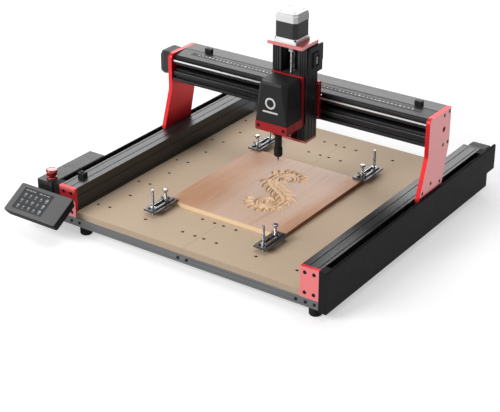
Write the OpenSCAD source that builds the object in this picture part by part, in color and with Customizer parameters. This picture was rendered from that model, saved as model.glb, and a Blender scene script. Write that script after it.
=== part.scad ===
// Desktop gantry router: a timber-topped bed, twin side rails with slotted covers,
// a travelling gantry, and a vertical head that carries a spindle.
// Built in machine coordinates: x = 0 on the seam of the bed, y = 0 on its front face,
// z = 0 on the ground. The last step moves the middle of the base to the origin.

/* [Bed] */
// Clear width of the bed between the side rails
bed_w = 575; // [480:1:700]
// Depth of the bed from the front face to the back of the rear plates
bed_l = 689; // [590:1:830]
// Thickness of the two spoilboards
board_t = 14; // [10:1:20]
// Diameter of the clamping holes in the spoilboards
grid_hole_d = 8; // [5:0.5:10]
// Distance between rows of clamping holes
grid_pitch_y = 70; // [50:1:90]
// Distance between the outer columns of clamping holes
grid_pitch_x = 99.4; // [80:0.2:110]
// Offset of the first column of holes from the seam
grid_seam_x = 11.5; // [9:0.5:16]
// Offset of the second column of holes from the seam
grid_second_x = 43.7; // [30:0.1:50]
// Distance of the first row of holes from the front face
grid_first_y = 60.6; // [45:0.2:80]

/* [Base frame] */
// Height of the rubber feet
foot_h = 19; // [14:1:30]
// Diameter of the rubber feet
foot_d = 28; // [20:1:36]
// Height of the beams under the bed
beam_h = 20; // [16:1:30]
// Depth of the beams under the bed, front to back
beam_d = 40; // [34:1:60]
// Width of a side rail
rail_w = 43; // [41:1:56]
// Height of a side rail
rail_h = 68; // [66:1:84]
// Thickness of a side rail's upright wall
rail_web = 6; // [4:0.5:8]
// Thickness of a side rail's top and bottom flanges
rail_flange = 5; // [3:0.5:6]
// Thickness of the red plates that close the rails
end_plate_t = 8; // [6:1:12]

/* [Slotted covers] */
// Thickness of a cover's outer wall
cover_wall = 5; // [3:0.5:8]
// How far a cover hangs below the bed beams
cover_drop = 4; // [0:1:10]
// Solid length at a cover's front end
cover_nose = 24; // [15:1:40]
// Solid length in front of the rear plate
cover_heel = 19; // [8:1:24]
// Length of the lower tail behind the rear plate
cover_low_tail = 6; // [4:1:30]
// Height of the long upper tail beside the motor
cover_tail_h = 60; // [50:1:64]

/* [Motors] */
// Side of a motor's square frame
motor_w = 57; // [52:0.5:58]
// Length of the two motors that drive the gantry
motor_y_l = 41; // [36:1:60]
// Length of the motor that drives the carriage
motor_x_l = 52; // [36:1:60]
// Length of the black stack of the head motor
motor_z_stack = 35; // [25:1:50]
// Thickness of the head motor's lower end bell
motor_z_bell = 12; // [6:1:14]
// Height of the pale cap on the head motor
motor_z_cap = 20; // [12:1:30]
// Corner cut on the motor stacks
motor_cut = 8; // [4:0.5:10]

/* [Gantry] */
// Thickness of the gantry's side plates
gantry_t = 10; // [8:1:12]
// Depth of a side plate along the travel
gantry_d = 93; // [90:1:110]
// Height of the top of the gantry above the ground
gantry_top = 280; // [260:1:320]
// How far a side plate's foot steps forward of its head
gantry_rake = 30; // [15:1:45]
// Front edge of the side plates where the gantry stands
gantry_y = 404; // [390:1:470]
// Height of the gantry beam's front channel
channel_h = 63; // [60:1:75]
// Height of the gantry beam's rear box
box_h = 90; // [80:1:95]
// Gap between a side plate and a rail
rail_gap = 2.5; // [1.5:0.5:4]
// Gap between a side plate and the cover's wall
slot_gap = 1; // [0.5:0.5:2]

/* [Guides and screws] */
// Diameter of the gantry and carriage lead screws
screw_d = 10; // [8:1:12]
// Diameter of the head's lead screw
screw_z_d = 8; // [6:1:10]
// Radial running clearance of a shaft in its bore
running = 0.06; // [0.03:0.01:0.1]
// Gap between a guide block and its guide
guide_gap = 0.3; // [0.2:0.05:0.4]

/* [Head] */
// Middle of the head where the carriage stands
head_x = 27; // [-60:1:60]
// Width of the head's upright column
column_w = 87; // [80:1:100]
// Depth of the column
column_d = 44; // [40:1:52]
// Height of the column between its end plates
column_h = 214; // [200:1:240]
// Underside of the column's bottom plate above the ground
column_z = 176; // [160:1:190]
// Thickness of the carriage plate
x_plate_t = 8; // [6:1:10]
// Width of the carriage plate
x_plate_w = 98; // [92:1:120]
// Height of the carriage plate
x_plate_h = 88; // [80:1:100]
// Thickness of the column's top plate
top_plate_t = 8; // [6:1:10]
// Depth of the column's top plate
top_plate_d = 64; // [62:1:72]
// Thickness of the column's bottom plate
bottom_plate_t = 5; // [4:1:8]
// Width of the sliding head plate
z_plate_w = 80; // [76:1:90]
// Height of the sliding head plate
z_plate_h = 113; // [105:1:125]
// Thickness of the sliding head plate
z_plate_t = 8; // [6:1:10]
// Underside of the sliding head plate above the ground
z_plate_z = 218; // [210:1:230]

/* [Spindle] */
// Diameter of the spindle motor
spindle_d = 52; // [44:1:53]
// Length of the spindle motor
spindle_l = 96; // [80:1:100]
// Height of the spindle clamp
clamp_h = 20; // [16:1:28]
// Depth of the spindle clamp, front to back
clamp_d = 61; // [60:1:70]
// Height of the shroud over the spindle
shroud_h = 92; // [84:1:100]
// Wall of the shroud
shroud_wall = 2.5; // [1.5:0.5:3]
// How much narrower the shroud is at the top, each side
shroud_taper = 4.5; // [0:0.5:6]
// Cut on the front corners of the shroud at its top
shroud_cut = 10.4; // [4:0.2:14]
// Diameter of the spindle's turning nose
nose_d = 16; // [12:1:18]
// Diameter of the collet nut
nut_d = 19; // [18:1:22]
// Length of the collet nut
nut_l = 20; // [14:1:24]
// Diameter of the cutter's shank
cutter_d = 3.2; // [3:0.1:6.4]
// Length of the cutter below the nut
cutter_out = 13; // [8:1:20]

/* [Control box] */
// Width of the control box
box_w = 42; // [40:1:60]
// Length of the control box
box_l = 174; // [140:1:220]
// Height of the control box
ctrl_h = 76; // [60:1:84]
// Wall of the control box
ctrl_wall = 2.5; // [2:0.5:4]
// Diameter of the stop button's cap
stop_d = 26; // [24:1:30]
// Travel of the stop button
stop_travel = 3; // [2:0.5:4]

/* [Touch panel] */
// Width of the touch panel
panel_w = 145; // [120:1:170]
// Length of the touch panel's face
panel_l = 75; // [66:1:95]
// Thickness of the touch panel
panel_t = 22; // [16:1:26]
// Backward tilt of the touch panel
panel_tilt = 30; // [20:1:40]
// Middle of the touch panel to the left of the bed's seam
panel_x = 352; // [340:1:370]
// Width of the glass
glass_w = 84; // [70:1:100]
// Length of the glass
glass_l = 56; // [46:1:60]

/* [Workholding] */
// Width of the workpiece
work_w = 298; // [240:1:320]
// Length of the workpiece
work_l = 326; // [250:1:330]
// Thickness of the workpiece
work_t = 10; // [6:1:20]
// Width of a clamp plate
clamp_plate_w = 34; // [28:1:40]
// Length of a clamp plate
clamp_plate_l = 80; // [70:1:90]
// Thickness of a clamp plate
clamp_plate_t = 4; // [3:0.5:6]
// Distance from a clamp's bolt to its levelling stud
clamp_reach = 44; // [36:1:50]
// Diameter of the clamp bolts and studs
clamp_bolt_d = 6; // [5:0.5:6.5]
// Height of the levelling studs above the spoilboard
stud_h = 59; // [45:1:70]
// Height of the bolt heads above the spoilboard
bolt_h = 42; // [36:1:50]

/* [Hidden] */
$fn = 48;

black = [0.10, 0.10, 0.11];
graphite = [0.22, 0.22, 0.24];
grey = [0.45, 0.46, 0.48];
silver = [0.78, 0.79, 0.81];
white = [0.93, 0.93, 0.94];
red = [0.75, 0.13, 0.14];
board = [0.80, 0.68, 0.55];
timber = [0.78, 0.52, 0.33];

// Heights of the base
beam_top = foot_h + beam_h;
board_top = beam_top + board_t;
rail_top = beam_top + rail_h;
cover_z = foot_h - cover_drop;

// Places across the bed, for the right-hand side
rail_x = bed_w / 2;
rail_out = rail_x + rail_w;
plate_x = rail_out + rail_gap;
plate_out = plate_x + gantry_t;
cover_in = plate_out + slot_gap;
cover_out = cover_in + cover_wall;

// Gantry screws and motors, inside the rails
y_axis_z = beam_top + rail_h / 2;
y_axis_x = cover_in - motor_w / 2 - 0.5;
screw_r = screw_d / 2;
rail_end = bed_l - end_plate_t;
rear_y = bed_l + motor_y_l;
coupler_r = 10;
coupler_l = 17;

// Guides of the gantry, on the inner wall of each rail
guide_wide = 12;
guide_tall = 8;
block_wide = 27;
block_tall = 10;
block_lift = 3;
block_long = 38;
y_guide_z = [beam_top + rail_flange + block_wide / 2 + 1, rail_top - rail_flange - block_wide / 2 - 1];
y_guide_face = rail_x + rail_web;
saddle_x = y_guide_face + block_lift + block_tall;
saddle_l = 90;
saddle_play = 2;

// Gantry side plates
foot_y = gantry_y - gantry_rake;
foot_d_y = gantry_d + 7;
plate_bottom = beam_top + rail_flange;
knee_top = gantry_top - 83;
knee_low = rail_top + 5;
gantry_back = gantry_y + gantry_d;

// Gantry beam section
beam_gap = 2;
beam_front = gantry_y + beam_gap;
flange_front = beam_front + 9;
flange_back = flange_front + 13;
box_front = gantry_back - 40;
channel_z = gantry_top - channel_h;
x_axis_y = gantry_back - 28;
x_axis_z = gantry_top - 43;
slot_h = 10;
slot_z = x_axis_z + 11;
arm_t = 6;
lip_t = 6;
ledge_drop = 4.5;

// Carriage guides, on the front of the gantry beam
small_wide = 9;
small_tall = 6.5;
small_block_w = 20;
small_block_t = 8;
small_lift = 2;
x_guide_z = [slot_z - slot_h / 2 - small_block_w / 2 + 0.5, slot_z + slot_h / 2 + small_block_w / 2 - 0.5];
x_plate_back = flange_front - small_block_t - small_lift;
x_plate_front = x_plate_back - x_plate_t;
x_plate_z = column_z + 43;

// Head column
column_front = x_plate_front - column_d;
column_wall = 8;
channel_w = 43;
column_back_in = x_plate_front - column_wall;
column_low = column_z + bottom_plate_t;
column_top = column_low + column_h;
motor_z0 = column_top + top_plate_t;
motor_z1 = motor_z0 + motor_z_bell;
motor_z2 = motor_z1 + motor_z_stack;
machine_top = motor_z2 + motor_z_cap;
z_axis_y = x_plate_front - top_plate_d + motor_w / 2 - 0.5;
z_screw_r = screw_z_d / 2;
z_guide_x = small_block_w / 2 + 0.8;
z_block_front = column_back_in - small_block_t - small_lift;
z_coupler_l = 16;

// Sliding head
z_gap = 1;
z_plate_back = column_front - z_gap;
z_plate_front = z_plate_back - z_plate_t;
z_saddle_h = 72;
z_saddle_w = channel_w - 2;
z_saddle_z = z_plate_z + z_plate_h - z_saddle_h - 1;
clamp_z = z_plate_z - 1;
clamp_front = z_plate_front - clamp_d;
clamp_slit = (z_plate_w - spindle_d) / 2 + 2;
spindle_y = z_plate_front - clamp_d / 2 - 0.5;
spindle_z = clamp_z - 3;
nose_low = spindle_z - 43;
nut_low = nose_low - nut_l;

// Control box and stop button
ctrl_x = -cover_out - box_w;
ctrl_y = -3;
ctrl_z = rail_top - ctrl_h;
stop_x = -cover_out - 17;
stop_y = 17;
rocker_x = ctrl_x + 10.6;
rocker_y = ctrl_y + box_l;
rocker_z = ctrl_z + 51.6;
rocker_l = 21;
rocker_pin = 0.8;

// Touch panel
panel_top_y = -15;
panel_top_z = rail_top - 14;

// Clamping holes and rows
grid_x = [grid_seam_x, grid_second_x, grid_second_x + grid_pitch_x, grid_second_x + 2 * grid_pitch_x];
grid_rows = floor((bed_l - 2 * grid_first_y + 1) / grid_pitch_y) + 1;
function row_y(k) = grid_first_y + k * grid_pitch_y;
clamp_x = grid_x[2];
clamp_row_front = 1;
clamp_row_rear = ceil((row_y(1) + 17 + work_l + 4 - grid_first_y) / grid_pitch_y);
clamp_slide = 9;
clamp_tip = 24;
clamp_slot = 28;
clamp_seat = 0.1;
board_screw_x = rail_x - 15.5;
board_screw_pitch = 140;
board_screw_rows = floor((bed_l - 100) / board_screw_pitch) + 1;

// Workpiece, centred on the clamps
work_y = row_y(clamp_row_front) + 17;
work_top = board_top + work_t;

// Screws that show
plate_screw_x = [rail_x + 11, rail_out - 11];
plate_screw_z = [beam_top + 11, rail_top - 12.5];
beam_screw_x = [11, rail_x - 8.5, rail_x + 13.5, rail_out - 8.5];
gantry_screw_yz = [
    [gantry_back - 7, gantry_top - 9], [gantry_back - 29, gantry_top - 11],
    [gantry_back - 7, gantry_top - 79],
    [gantry_back - 28, gantry_top - 79], [gantry_y + 19, rail_top + 21],
    [gantry_y + 60, rail_top + 11], [gantry_y - 17, rail_top + 11]
];
motor_bolt = 23.5;
// Screws that the carriage motor's flange would cover are left off the left-hand plate
motor_reach = motor_w / 2 + 5;
left_screw_yz = [
    for (p = gantry_screw_yz) if (abs(p[0] - x_axis_y) > motor_reach || abs(p[1] - x_axis_z) > motor_reach) p
];

// Middle of the outline on the ground
panel_dy = panel_l * cos(panel_tilt);
x_min = -panel_x - panel_w / 2;
y_min = panel_top_y - panel_dy;
centre_x = (x_min + cover_out) / 2;
centre_y = (y_min + rear_y) / 2;

// ---- Helpers ----

// Sets a finish and moves the middle of the base to the origin
module placed(c) {
    color(c) translate([-centre_x, -centre_y, 0]) children();
}

// Extrudes a profile drawn in x and z along y
module along_y(y, l) {
    translate([0, y + l, 0]) rotate([90, 0, 0]) linear_extrude(l) children();
}

// Extrudes a profile drawn in y and z along x
module along_x(x, l) {
    translate([x, 0, 0]) rotate([90, 0, 90]) linear_extrude(l) children();
}

// Cylinders along the y and x axes
module rod_y(x, y, z, r, l) {
    translate([x, y + l, z]) rotate([90, 0, 0]) cylinder(r = r, h = l);
}
module rod_x(x, y, z, r, l) {
    translate([x, y, z]) rotate([0, 90, 0]) cylinder(r = r, h = l);
}
module rod_z(x, y, z, r, l) {
    translate([x, y, z]) cylinder(r = r, h = l);
}

// Box from its lowest corner
module block(x, y, z, w, d, h) {
    translate([x, y, z]) cube([w, d, h]);
}

// Copies a piece to the right-hand and left-hand side
module both_sides() {
    children();
    mirror([1, 0, 0]) children();
}

// Cap screw whose head is sunk below z = 0, with a hex socket and its shank below
module cap_screw(d, l, sink) {
    head_r = d * 0.8;
    translate([0, 0, -sink]) {
        difference() {
            cylinder(r = head_r, h = d * 0.6);
            translate([0, 0, d * 0.25]) cylinder(r = d * 0.42, h = d, $fn = 6);
        }
        translate([0, 0, -l]) cylinder(d = d, h = l);
    }
}

// Hole that takes a cap screw's shank, with a counterbore for its head
module screw_hole(d, l, sink) {
    translate([0, 0, -l - sink]) cylinder(d = d + 0.3, h = l + sink + 1);
    translate([0, 0, -sink]) cylinder(r = d * 0.8 + 0.3, h = sink + 1);
}

// Square motor stack with cut corners, upwards from z = 0
module motor_stack(w, cut, l) {
    linear_extrude(l) difference() {
        square(w, center = true);
        for (a = [0:90:270]) rotate(a) translate([w / 2, w / 2]) rotate(45) square(cut * sqrt(2), center = true);
    }
}

// Guide block across a guide of the given width, on the x = 0 plane, facing +x
module guide_block(wide, tall, lift, long, rail, rail_tall) {
    difference() {
        translate([lift, -long / 2, -wide / 2]) cube([tall, long, wide]);
        translate([lift - 1, -long / 2 - 1, -rail / 2 - guide_gap])
            cube([rail_tall - lift + guide_gap + 1, long + 2, rail + 2 * guide_gap]);
    }
}

// ---- Bed and base frame ----

module beam_profile() {
    difference() {
        square([beam_d, beam_h]);
        for (i = [0, 1]) translate([2.5 + i * (beam_d - 2.5) / 2, 2.5]) square([(beam_d - 7.5) / 2, beam_h - 5]);
    }
}

module front_beam() placed(grey) difference() {
    along_x(-rail_out, 2 * rail_out) translate([0, foot_h]) beam_profile();
    for (x = beam_screw_x, s = [-1, 1])
        translate([s * x, 0, foot_h + beam_h / 2]) rotate([90, 0, 0]) screw_hole(4, 2.6, 1.4);
}

module cross_beams() placed(graphite) for (i = [1:3])
    along_x(-rail_out, 2 * rail_out) translate([i * (bed_l - beam_d) / 3, foot_h]) beam_profile();

module grid_holes() {
    for (x = grid_x, k = [0:grid_rows - 1])
        translate([x, row_y(k), beam_top - 1]) cylinder(d = grid_hole_d, h = board_t + 2);
}

module board_fixings() {
    for (k = [0:board_screw_rows - 1]) translate([board_screw_x, 57 + k * board_screw_pitch, board_top]) children();
}

module spoilboard() {
    difference() {
        block(0.2, 1, beam_top, rail_x - 0.4, rail_end - 2, board_t);
        grid_holes();
        board_fixings() screw_hole(4, 5.5, 2.6);
    }
}

module spoilboard_right() placed(board) spoilboard();
module spoilboard_left() placed(board) mirror([1, 0, 0]) spoilboard();

foot_x = [-rail_x + 14.5, rail_out - foot_d / 2 - 0.3];
module feet() placed(black) for (x = foot_x, y = [14.5, bed_l - 20])
    translate([x, y, 0]) {
        difference() {
            union() {
                cylinder(d = foot_d - 4, h = foot_h);
                translate([0, 0, 2]) cylinder(d1 = foot_d - 1.5, d2 = foot_d, h = foot_h - 2, $fn = 48);
                cylinder(d = foot_d - 1.5, h = 2);
            }
            translate([0, 0, -1]) cylinder(d = 9, h = 6);
        }
    }

// ---- Side rails ----

module rail_profile() {
    difference() {
        translate([rail_x, beam_top]) square([rail_w, rail_h]);
        translate([rail_x + rail_web, beam_top + rail_flange]) square([rail_w, rail_h - 2 * rail_flange]);
        for (u = [0.35, 0.82]) translate([rail_x + rail_w * u, rail_top - 1]) square([1.6, 2]);
        for (v = [0.3, 0.7]) translate([rail_x - 1, beam_top + rail_h * v]) square([2, 5]);
    }
}

module rail() {
    along_y(end_plate_t, rail_end - end_plate_t) rail_profile();
}

module rail_right() placed(black) rail();
module rail_left() placed(black) mirror([1, 0, 0]) rail();

module plate_screws(y, turn) {
    for (x = plate_screw_x, z = plate_screw_z) translate([x, y, z]) rotate([turn, 0, 0]) children();
}

// The front plate's bore is blind; the rear plate's lets the screw through to its motor
module end_plates() placed(red) both_sides() {
    difference() {
        block(rail_x, 0, beam_top, rail_w, end_plate_t, rail_h);
        rod_y(y_axis_x, 3, y_axis_z, screw_r + running, end_plate_t);
        plate_screws(0, 90) screw_hole(5, 4.2, 3.1);
    }
    difference() {
        block(rail_x, rail_end, beam_top, rail_w, end_plate_t, rail_h);
        rod_y(y_axis_x, rail_end - 1, y_axis_z, screw_r + running, end_plate_t + 2);
    }
}

module cover() {
    tail_z = rail_top - cover_tail_h;
    difference() {
        union() {
            block(cover_in, 0, cover_z, cover_wall, bed_l + cover_low_tail, rail_top - cover_z);
            block(rail_out, 0, cover_z, cover_in - rail_out + 1, bed_l + cover_low_tail, 4);
            block(rail_out, 0, cover_z, cover_in - rail_out + 1, cover_nose, rail_top - cover_z);
            block(rail_out, rail_end - cover_heel, cover_z, cover_in - rail_out + 1,
                cover_heel + end_plate_t, rail_top - cover_z);
            block(cover_in, bed_l, tail_z, cover_wall, motor_y_l, cover_tail_h);
        }
        translate([cover_out, -1, rail_top]) rotate([-90, 0, 0]) cylinder(r = 1.5, h = rear_y + 2, $fn = 4);
        translate([cover_in + 1.2, cover_nose, rail_top - 0.8]) cube([1.2, rail_end - cover_nose - cover_heel, 2]);
    }
}

module cover_right() placed(black) cover();
module cover_left() placed(black) mirror([1, 0, 0]) cover();

module y_guides() placed(silver) both_sides() for (z = y_guide_z)
    block(y_guide_face, end_plate_t + 4, z - guide_wide / 2, guide_tall, rail_end - end_plate_t - 8, guide_wide);

module y_motors() placed(black) both_sides() translate([y_axis_x, bed_l, y_axis_z]) rotate([-90, 0, 0])
    difference() {
        union() {
            motor_stack(motor_w, 3, 8);
            translate([0, 0, 8]) motor_stack(motor_w - 0.8, motor_cut, motor_y_l - 20);
            translate([0, 0, motor_y_l - 12]) motor_stack(motor_w, 5, 12);
        }
        translate([0, 0, -1]) cylinder(r = screw_r + running, h = 13);
    }

module y_screw() {
    rod_y(y_axis_x, 4, y_axis_z, screw_r, bed_l + 6);
    difference() {
        rod_y(y_axis_x, rail_end - coupler_l - 1, y_axis_z, coupler_r, coupler_l);
        rod_y(y_axis_x, rail_end - coupler_l - 2, y_axis_z, screw_r, coupler_l + 2);
    }
}

module y_screw_right() placed(silver) y_screw();
module y_screw_left() placed(silver) mirror([1, 0, 0]) y_screw();

module base_screws() placed(graphite) {
    both_sides() plate_screws(0, 90) cap_screw(5, 4, 3.1);
    for (x = beam_screw_x, s = [-1, 1])
        translate([s * x, 0, foot_h + beam_h / 2]) rotate([90, 0, 0]) cap_screw(4, 2.4, 1.4);
    both_sides() board_fixings() cap_screw(4, 5, 2.6);
}

module y_limit_switch() placed(black) {
    block(-rail_x - 36, 52, rail_top, 17, 14, 11);
    block(-rail_x - 33, 56, rail_top + 11, 8, 5, 2);
}

// ---- Controls ----

module control_box() placed(graphite) difference() {
    block(ctrl_x, ctrl_y, ctrl_z, box_w, box_l, ctrl_h);
    block(ctrl_x + ctrl_wall, ctrl_y + ctrl_wall, ctrl_z + ctrl_wall, box_w - 2 * ctrl_wall,
        box_l - 2 * ctrl_wall, ctrl_h - 2 * ctrl_wall);
    rod_x(rocker_x - 2, rocker_y - 1, rocker_z, rocker_pin + running, rocker_l + 4);
    rod_z(stop_x, stop_y, ctrl_z, 8.05, ctrl_h + 1);
    block(ctrl_x + 7, ctrl_y + box_l - ctrl_wall - 1, ctrl_z + 12, 28.2, ctrl_wall + 2, 20.2);
    block(ctrl_x + 10, ctrl_y + box_l - ctrl_wall - 1, ctrl_z + 44, 22.2, ctrl_wall + 2, 15.2);
    for (i = [0:3]) rod_z(ctrl_x + 10 + 4.5 * i, stop_y + 60 + i * 7, rail_top - ctrl_wall - 1, 1.5, ctrl_wall + 2);
}

module stop_socket() placed(silver) difference() {
    union() {
        rod_z(stop_x, stop_y, rail_top, 12, 4);
        rod_z(stop_x, stop_y, rail_top - 14, 8, 14);
    }
    rod_z(stop_x, stop_y, rail_top - 12, 4 + running, 17);
}

module stop_button() placed(red) translate([stop_x, stop_y, rail_top]) {
    rotate_extrude() polygon([
        [0, -8], [4, -8], [4, 4 + stop_travel + 0.6], [stop_d / 2 - 1, 4 + stop_travel + 0.6],
        [stop_d / 2, 6 + stop_travel], [stop_d / 2, 18], [stop_d / 2 - 1.5, 20], [0, 20.6]
    ]);
}

module power_inlet() placed(black) difference() {
    union() {
        block(ctrl_x + 7.1, ctrl_y + box_l - 18, ctrl_z + 12.1, 28, 18, 20);
        block(ctrl_x + 5, ctrl_y + box_l, ctrl_z + 10, 32.2, 2, 24.2);
    }
    block(ctrl_x + 9.1, ctrl_y + box_l - 14, ctrl_z + 14.1, 24, 20, 16);
}

module power_rocker() placed(red) {
    translate([rocker_x, rocker_y - 1, rocker_z]) along_x(0, rocker_l) polygon([
        [-4, -5], [1.5, -7], [3, -6.6], [1.6, 0], [3, 6.6], [1.5, 7], [-4, 5]
    ]);
    rod_x(rocker_x - 1.6, rocker_y - 1, rocker_z, rocker_pin, rocker_l + 3.2);
}

module tilted() {
    translate([-panel_x, panel_top_y, panel_top_z]) rotate([panel_tilt, 0, 0]) children();
}

module rounded(w, l, r) {
    hull() for (x = [-w / 2 + r, w / 2 - r], y = [-l + r, -r]) translate([x, y]) circle(r, $fn = 24);
}

module panel_case() placed(graphite) tilted() difference() {
    hull() {
        translate([0, 0, -7]) linear_extrude(7) translate([-panel_w / 2, -panel_l]) square([panel_w, panel_l]);
        translate([0, -4, -panel_t]) linear_extrude(1) translate([-panel_w / 2 + 6, -panel_l + 8])
            square([panel_w - 12, panel_l - 8]);
    }
    translate([-glass_w / 2 - 14, -glass_l - 9, -1.6]) cube([glass_w, glass_l, 4]);
}

module panel_glass() placed(black) tilted()
    translate([-glass_w / 2 - 13.8, -glass_l - 8.8, -1.6]) cube([glass_w - 0.4, glass_l - 0.4, 1.4]);

function under_panel(y) =
    panel_top_z + (y - panel_top_y) * tan(panel_tilt) - panel_t / cos(panel_tilt) - 0.1;

module panel_bracket() placed(black) {
    y0 = ctrl_y;
    y1 = panel_top_y - 44;
    along_x(ctrl_x + 6, 30) polygon([
        [y0, under_panel(y0 - 3) - 26], [y0, under_panel(y0 - 4)], [y0 - 4, under_panel(y0 - 4)], [y1, under_panel(y1)], [y1, under_panel(y1) - 3],
        [y0 - 8, under_panel(y0 - 8) - 6], [y0 - 3, under_panel(y0 - 3) - 26]
    ]);
}

// ---- Workpiece and clamps ----

module workpiece() placed(timber) block(-work_w / 2, work_y, board_top, work_w, work_l, work_t);

// The four clamps, on each side of the seam: the front pair, and the rear pair slid back along its slots
module at_clamps(slid) {
    for (s = [-1, 1]) {
        translate([s * clamp_x, row_y(clamp_row_front), 0]) children();
        translate([s * clamp_x, row_y(clamp_row_rear) + slid, 0]) mirror([0, 1, 0]) children();
    }
}

module clamp_plates() placed(black) at_clamps(clamp_slide) difference() {
    union() {
        translate([-clamp_plate_w / 2, clamp_tip - clamp_plate_l, work_top + clamp_seat])
            cube([clamp_plate_w, clamp_plate_l, clamp_plate_t]);
        for (s = [-1, 1]) translate([s * 8 - 2, clamp_tip - clamp_plate_l + 6, work_top + clamp_seat])
            cube([4, clamp_plate_l - 12, clamp_plate_t + 3]);
    }
    translate([-clamp_bolt_d / 2 - 0.4, -clamp_slot, work_top - 1])
        cube([clamp_bolt_d + 0.8, clamp_slot + clamp_slide, clamp_plate_t + 2]);
    for (y = [clamp_slide, -clamp_slot]) rod_z(0, y, work_top - 1, clamp_bolt_d / 2 + 0.4, clamp_plate_t + 2);
    rod_z(0, -clamp_reach, work_top - 1, clamp_bolt_d / 2 + 0.2, clamp_plate_t + 2);
}

// Bolts with inserts in the clamping holes, and levelling studs with their nuts
module clamp_rods() placed(silver) {
    at_clamps(0) {
        rod_z(0, 0, beam_top + 1, clamp_bolt_d / 2, board_top + bolt_h - beam_top - 2);
        rod_z(0, 0, board_top + bolt_h - 2, 6.5, 3.5);
        rod_z(0, 0, beam_top + 1, grid_hole_d / 2 - 0.1, board_t - 2);
    }
    at_clamps(clamp_slide) {
        rod_z(0, -clamp_reach, board_top + clamp_seat, clamp_bolt_d / 2, stud_h);
        rod_z(0, -clamp_reach, work_top + clamp_seat + clamp_plate_t, 5, 4, $fn = 6);
    }
}

module wing_nut() {
    hub_z = work_top + clamp_seat + clamp_plate_t + 0.3;
    difference() {
        union() {
            rod_z(0, 0, hub_z, 5, 8);
            translate([-11, -1.2, hub_z + 4]) cube([22, 2.4, 8]);
        }
        rod_z(0, 0, hub_z - 1, clamp_bolt_d / 2 + running, 14);
        translate([-4.9, -3, hub_z + 8]) cube([9.8, 6, 6]);
    }
}

module nut_at(s, row, turn) {
    translate([s * clamp_x, row_y(row), 0]) rotate(turn) wing_nut();
}

module wing_nut_front_left() placed(silver) nut_at(-1, clamp_row_front, 20);
module wing_nut_front_right() placed(silver) nut_at(1, clamp_row_front, -15);
module wing_nut_rear_left() placed(silver) nut_at(-1, clamp_row_rear, 10);
module wing_nut_rear_right() placed(silver) nut_at(1, clamp_row_rear, 30);

// ---- Gantry ----

module gantry_outline() {
    corner = 12;
    difference() {
        polygon([
            [foot_y, plate_bottom], [foot_y, knee_low - 8], [foot_y + 2, knee_low],
            [gantry_y - 1, knee_top - 6], [gantry_y, knee_top], [gantry_y, gantry_top],
            [gantry_back, gantry_top], [gantry_back, knee_top], [gantry_back - 2, knee_top - 8],
            [foot_y + foot_d_y + 2, knee_low + 6], [foot_y + foot_d_y, knee_low - 4],
            [foot_y + foot_d_y, plate_bottom]
        ]);
        difference() {
            translate([gantry_y - 1, gantry_top - corner]) square([corner + 1, corner + 1]);
            translate([gantry_y + corner, gantry_top - corner]) circle(corner);
        }
    }
}

module at_gantry_screws(motor_side) {
    for (p = motor_side ? left_screw_yz : gantry_screw_yz)
        translate([plate_out, p[0], p[1]]) rotate([0, 90, 0]) children();
}

module gantry_plate(motor_side) {
    difference() {
        along_x(plate_x, gantry_t) gantry_outline();
        at_gantry_screws(motor_side) screw_hole(5, 6.5, 3.1);
        rod_x(plate_x - 1, x_axis_y, x_axis_z, screw_r + running, gantry_t + 2);
        if (!motor_side) rod_x(plate_out - 2, x_axis_y, x_axis_z, 6.2, 3);
    }
}

module gantry_plate_right() placed(red) gantry_plate(false);
module gantry_plate_left() placed(red) mirror([1, 0, 0]) gantry_plate(true);

module beam_outline() {
    polygon([
        [beam_front, channel_z], [box_front, channel_z], [box_front, gantry_top - box_h],
        [gantry_back, gantry_top - box_h], [gantry_back, gantry_top], [box_front, gantry_top],
        [box_front, gantry_top - 0.6], [flange_front + 3, gantry_top - ledge_drop],
        [flange_front, gantry_top - ledge_drop - 3], [flange_front, channel_z + lip_t],
        [beam_front, channel_z + lip_t]
    ]);
}

module beam_hollows() {
    // chamber of the lead screw, and the slot the nut's arm passes
    translate([flange_back, channel_z + 5]) square([gantry_back - flange_back - 5, channel_h - 17]);
    translate([flange_front - 1, slot_z - slot_h / 2]) square([flange_back - flange_front + 2, slot_h]);
    // chamber of the rear box, below the lead screw
    translate([box_front + 3, gantry_top - box_h + 3]) square([gantry_back - box_front - 8, box_h - channel_h - 3]);
    // grooves beside the guides
    for (z = x_guide_z, v = [-8, 6.4]) translate([flange_front - 1, z + v]) square([2.6, 1.6]);
    // grooves that show at the back
    for (v = [18, 60]) translate([gantry_back - 3, gantry_top - box_h + v]) square([4, 8]);
}

module gantry_beam() placed(black) along_x(-plate_x, 2 * plate_x) difference() {
    beam_outline();
    beam_hollows();
}

module gantry_saddles() placed(graphite) both_sides() difference() {
    block(saddle_x, foot_y + 5, plate_bottom + saddle_play, plate_x - saddle_x, saddle_l,
        rail_h - 2 * rail_flange - 2 * saddle_play);
    rod_y(y_axis_x, foot_y, y_axis_z, screw_r + running, saddle_l + 10);
}

module y_guide_blocks() placed(silver) both_sides()
    for (z = y_guide_z, y = [foot_y + 5 + block_long / 2, foot_y + 5 + saddle_l - block_long / 2])
        translate([y_guide_face, y, z])
            guide_block(block_wide, block_tall, block_lift, block_long, guide_wide, guide_tall);

module x_guides() placed(silver) for (z = x_guide_z)
    block(-plate_x + 2, flange_front - small_tall, z - small_wide / 2, 2 * plate_x - 4, small_tall, small_wide);

module x_motor() placed(black) translate([-plate_out, x_axis_y, x_axis_z]) rotate([0, -90, 0]) difference() {
    union() {
        motor_stack(motor_w, 3, 8);
        translate([0, 0, 8]) motor_stack(motor_w - 0.8, motor_cut, motor_x_l - 18);
        translate([0, 0, motor_x_l - 10]) motor_stack(motor_w, 5, 10);
    }
    translate([0, 0, -1]) cylinder(r = screw_r + running, h = 13);
}

limit_x = [-plate_x + 54, plate_x - 60];
module x_limit_blocks() placed(black) for (x = limit_x) block(x, box_front + 4, gantry_top, 18, 10, 9);

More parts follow.
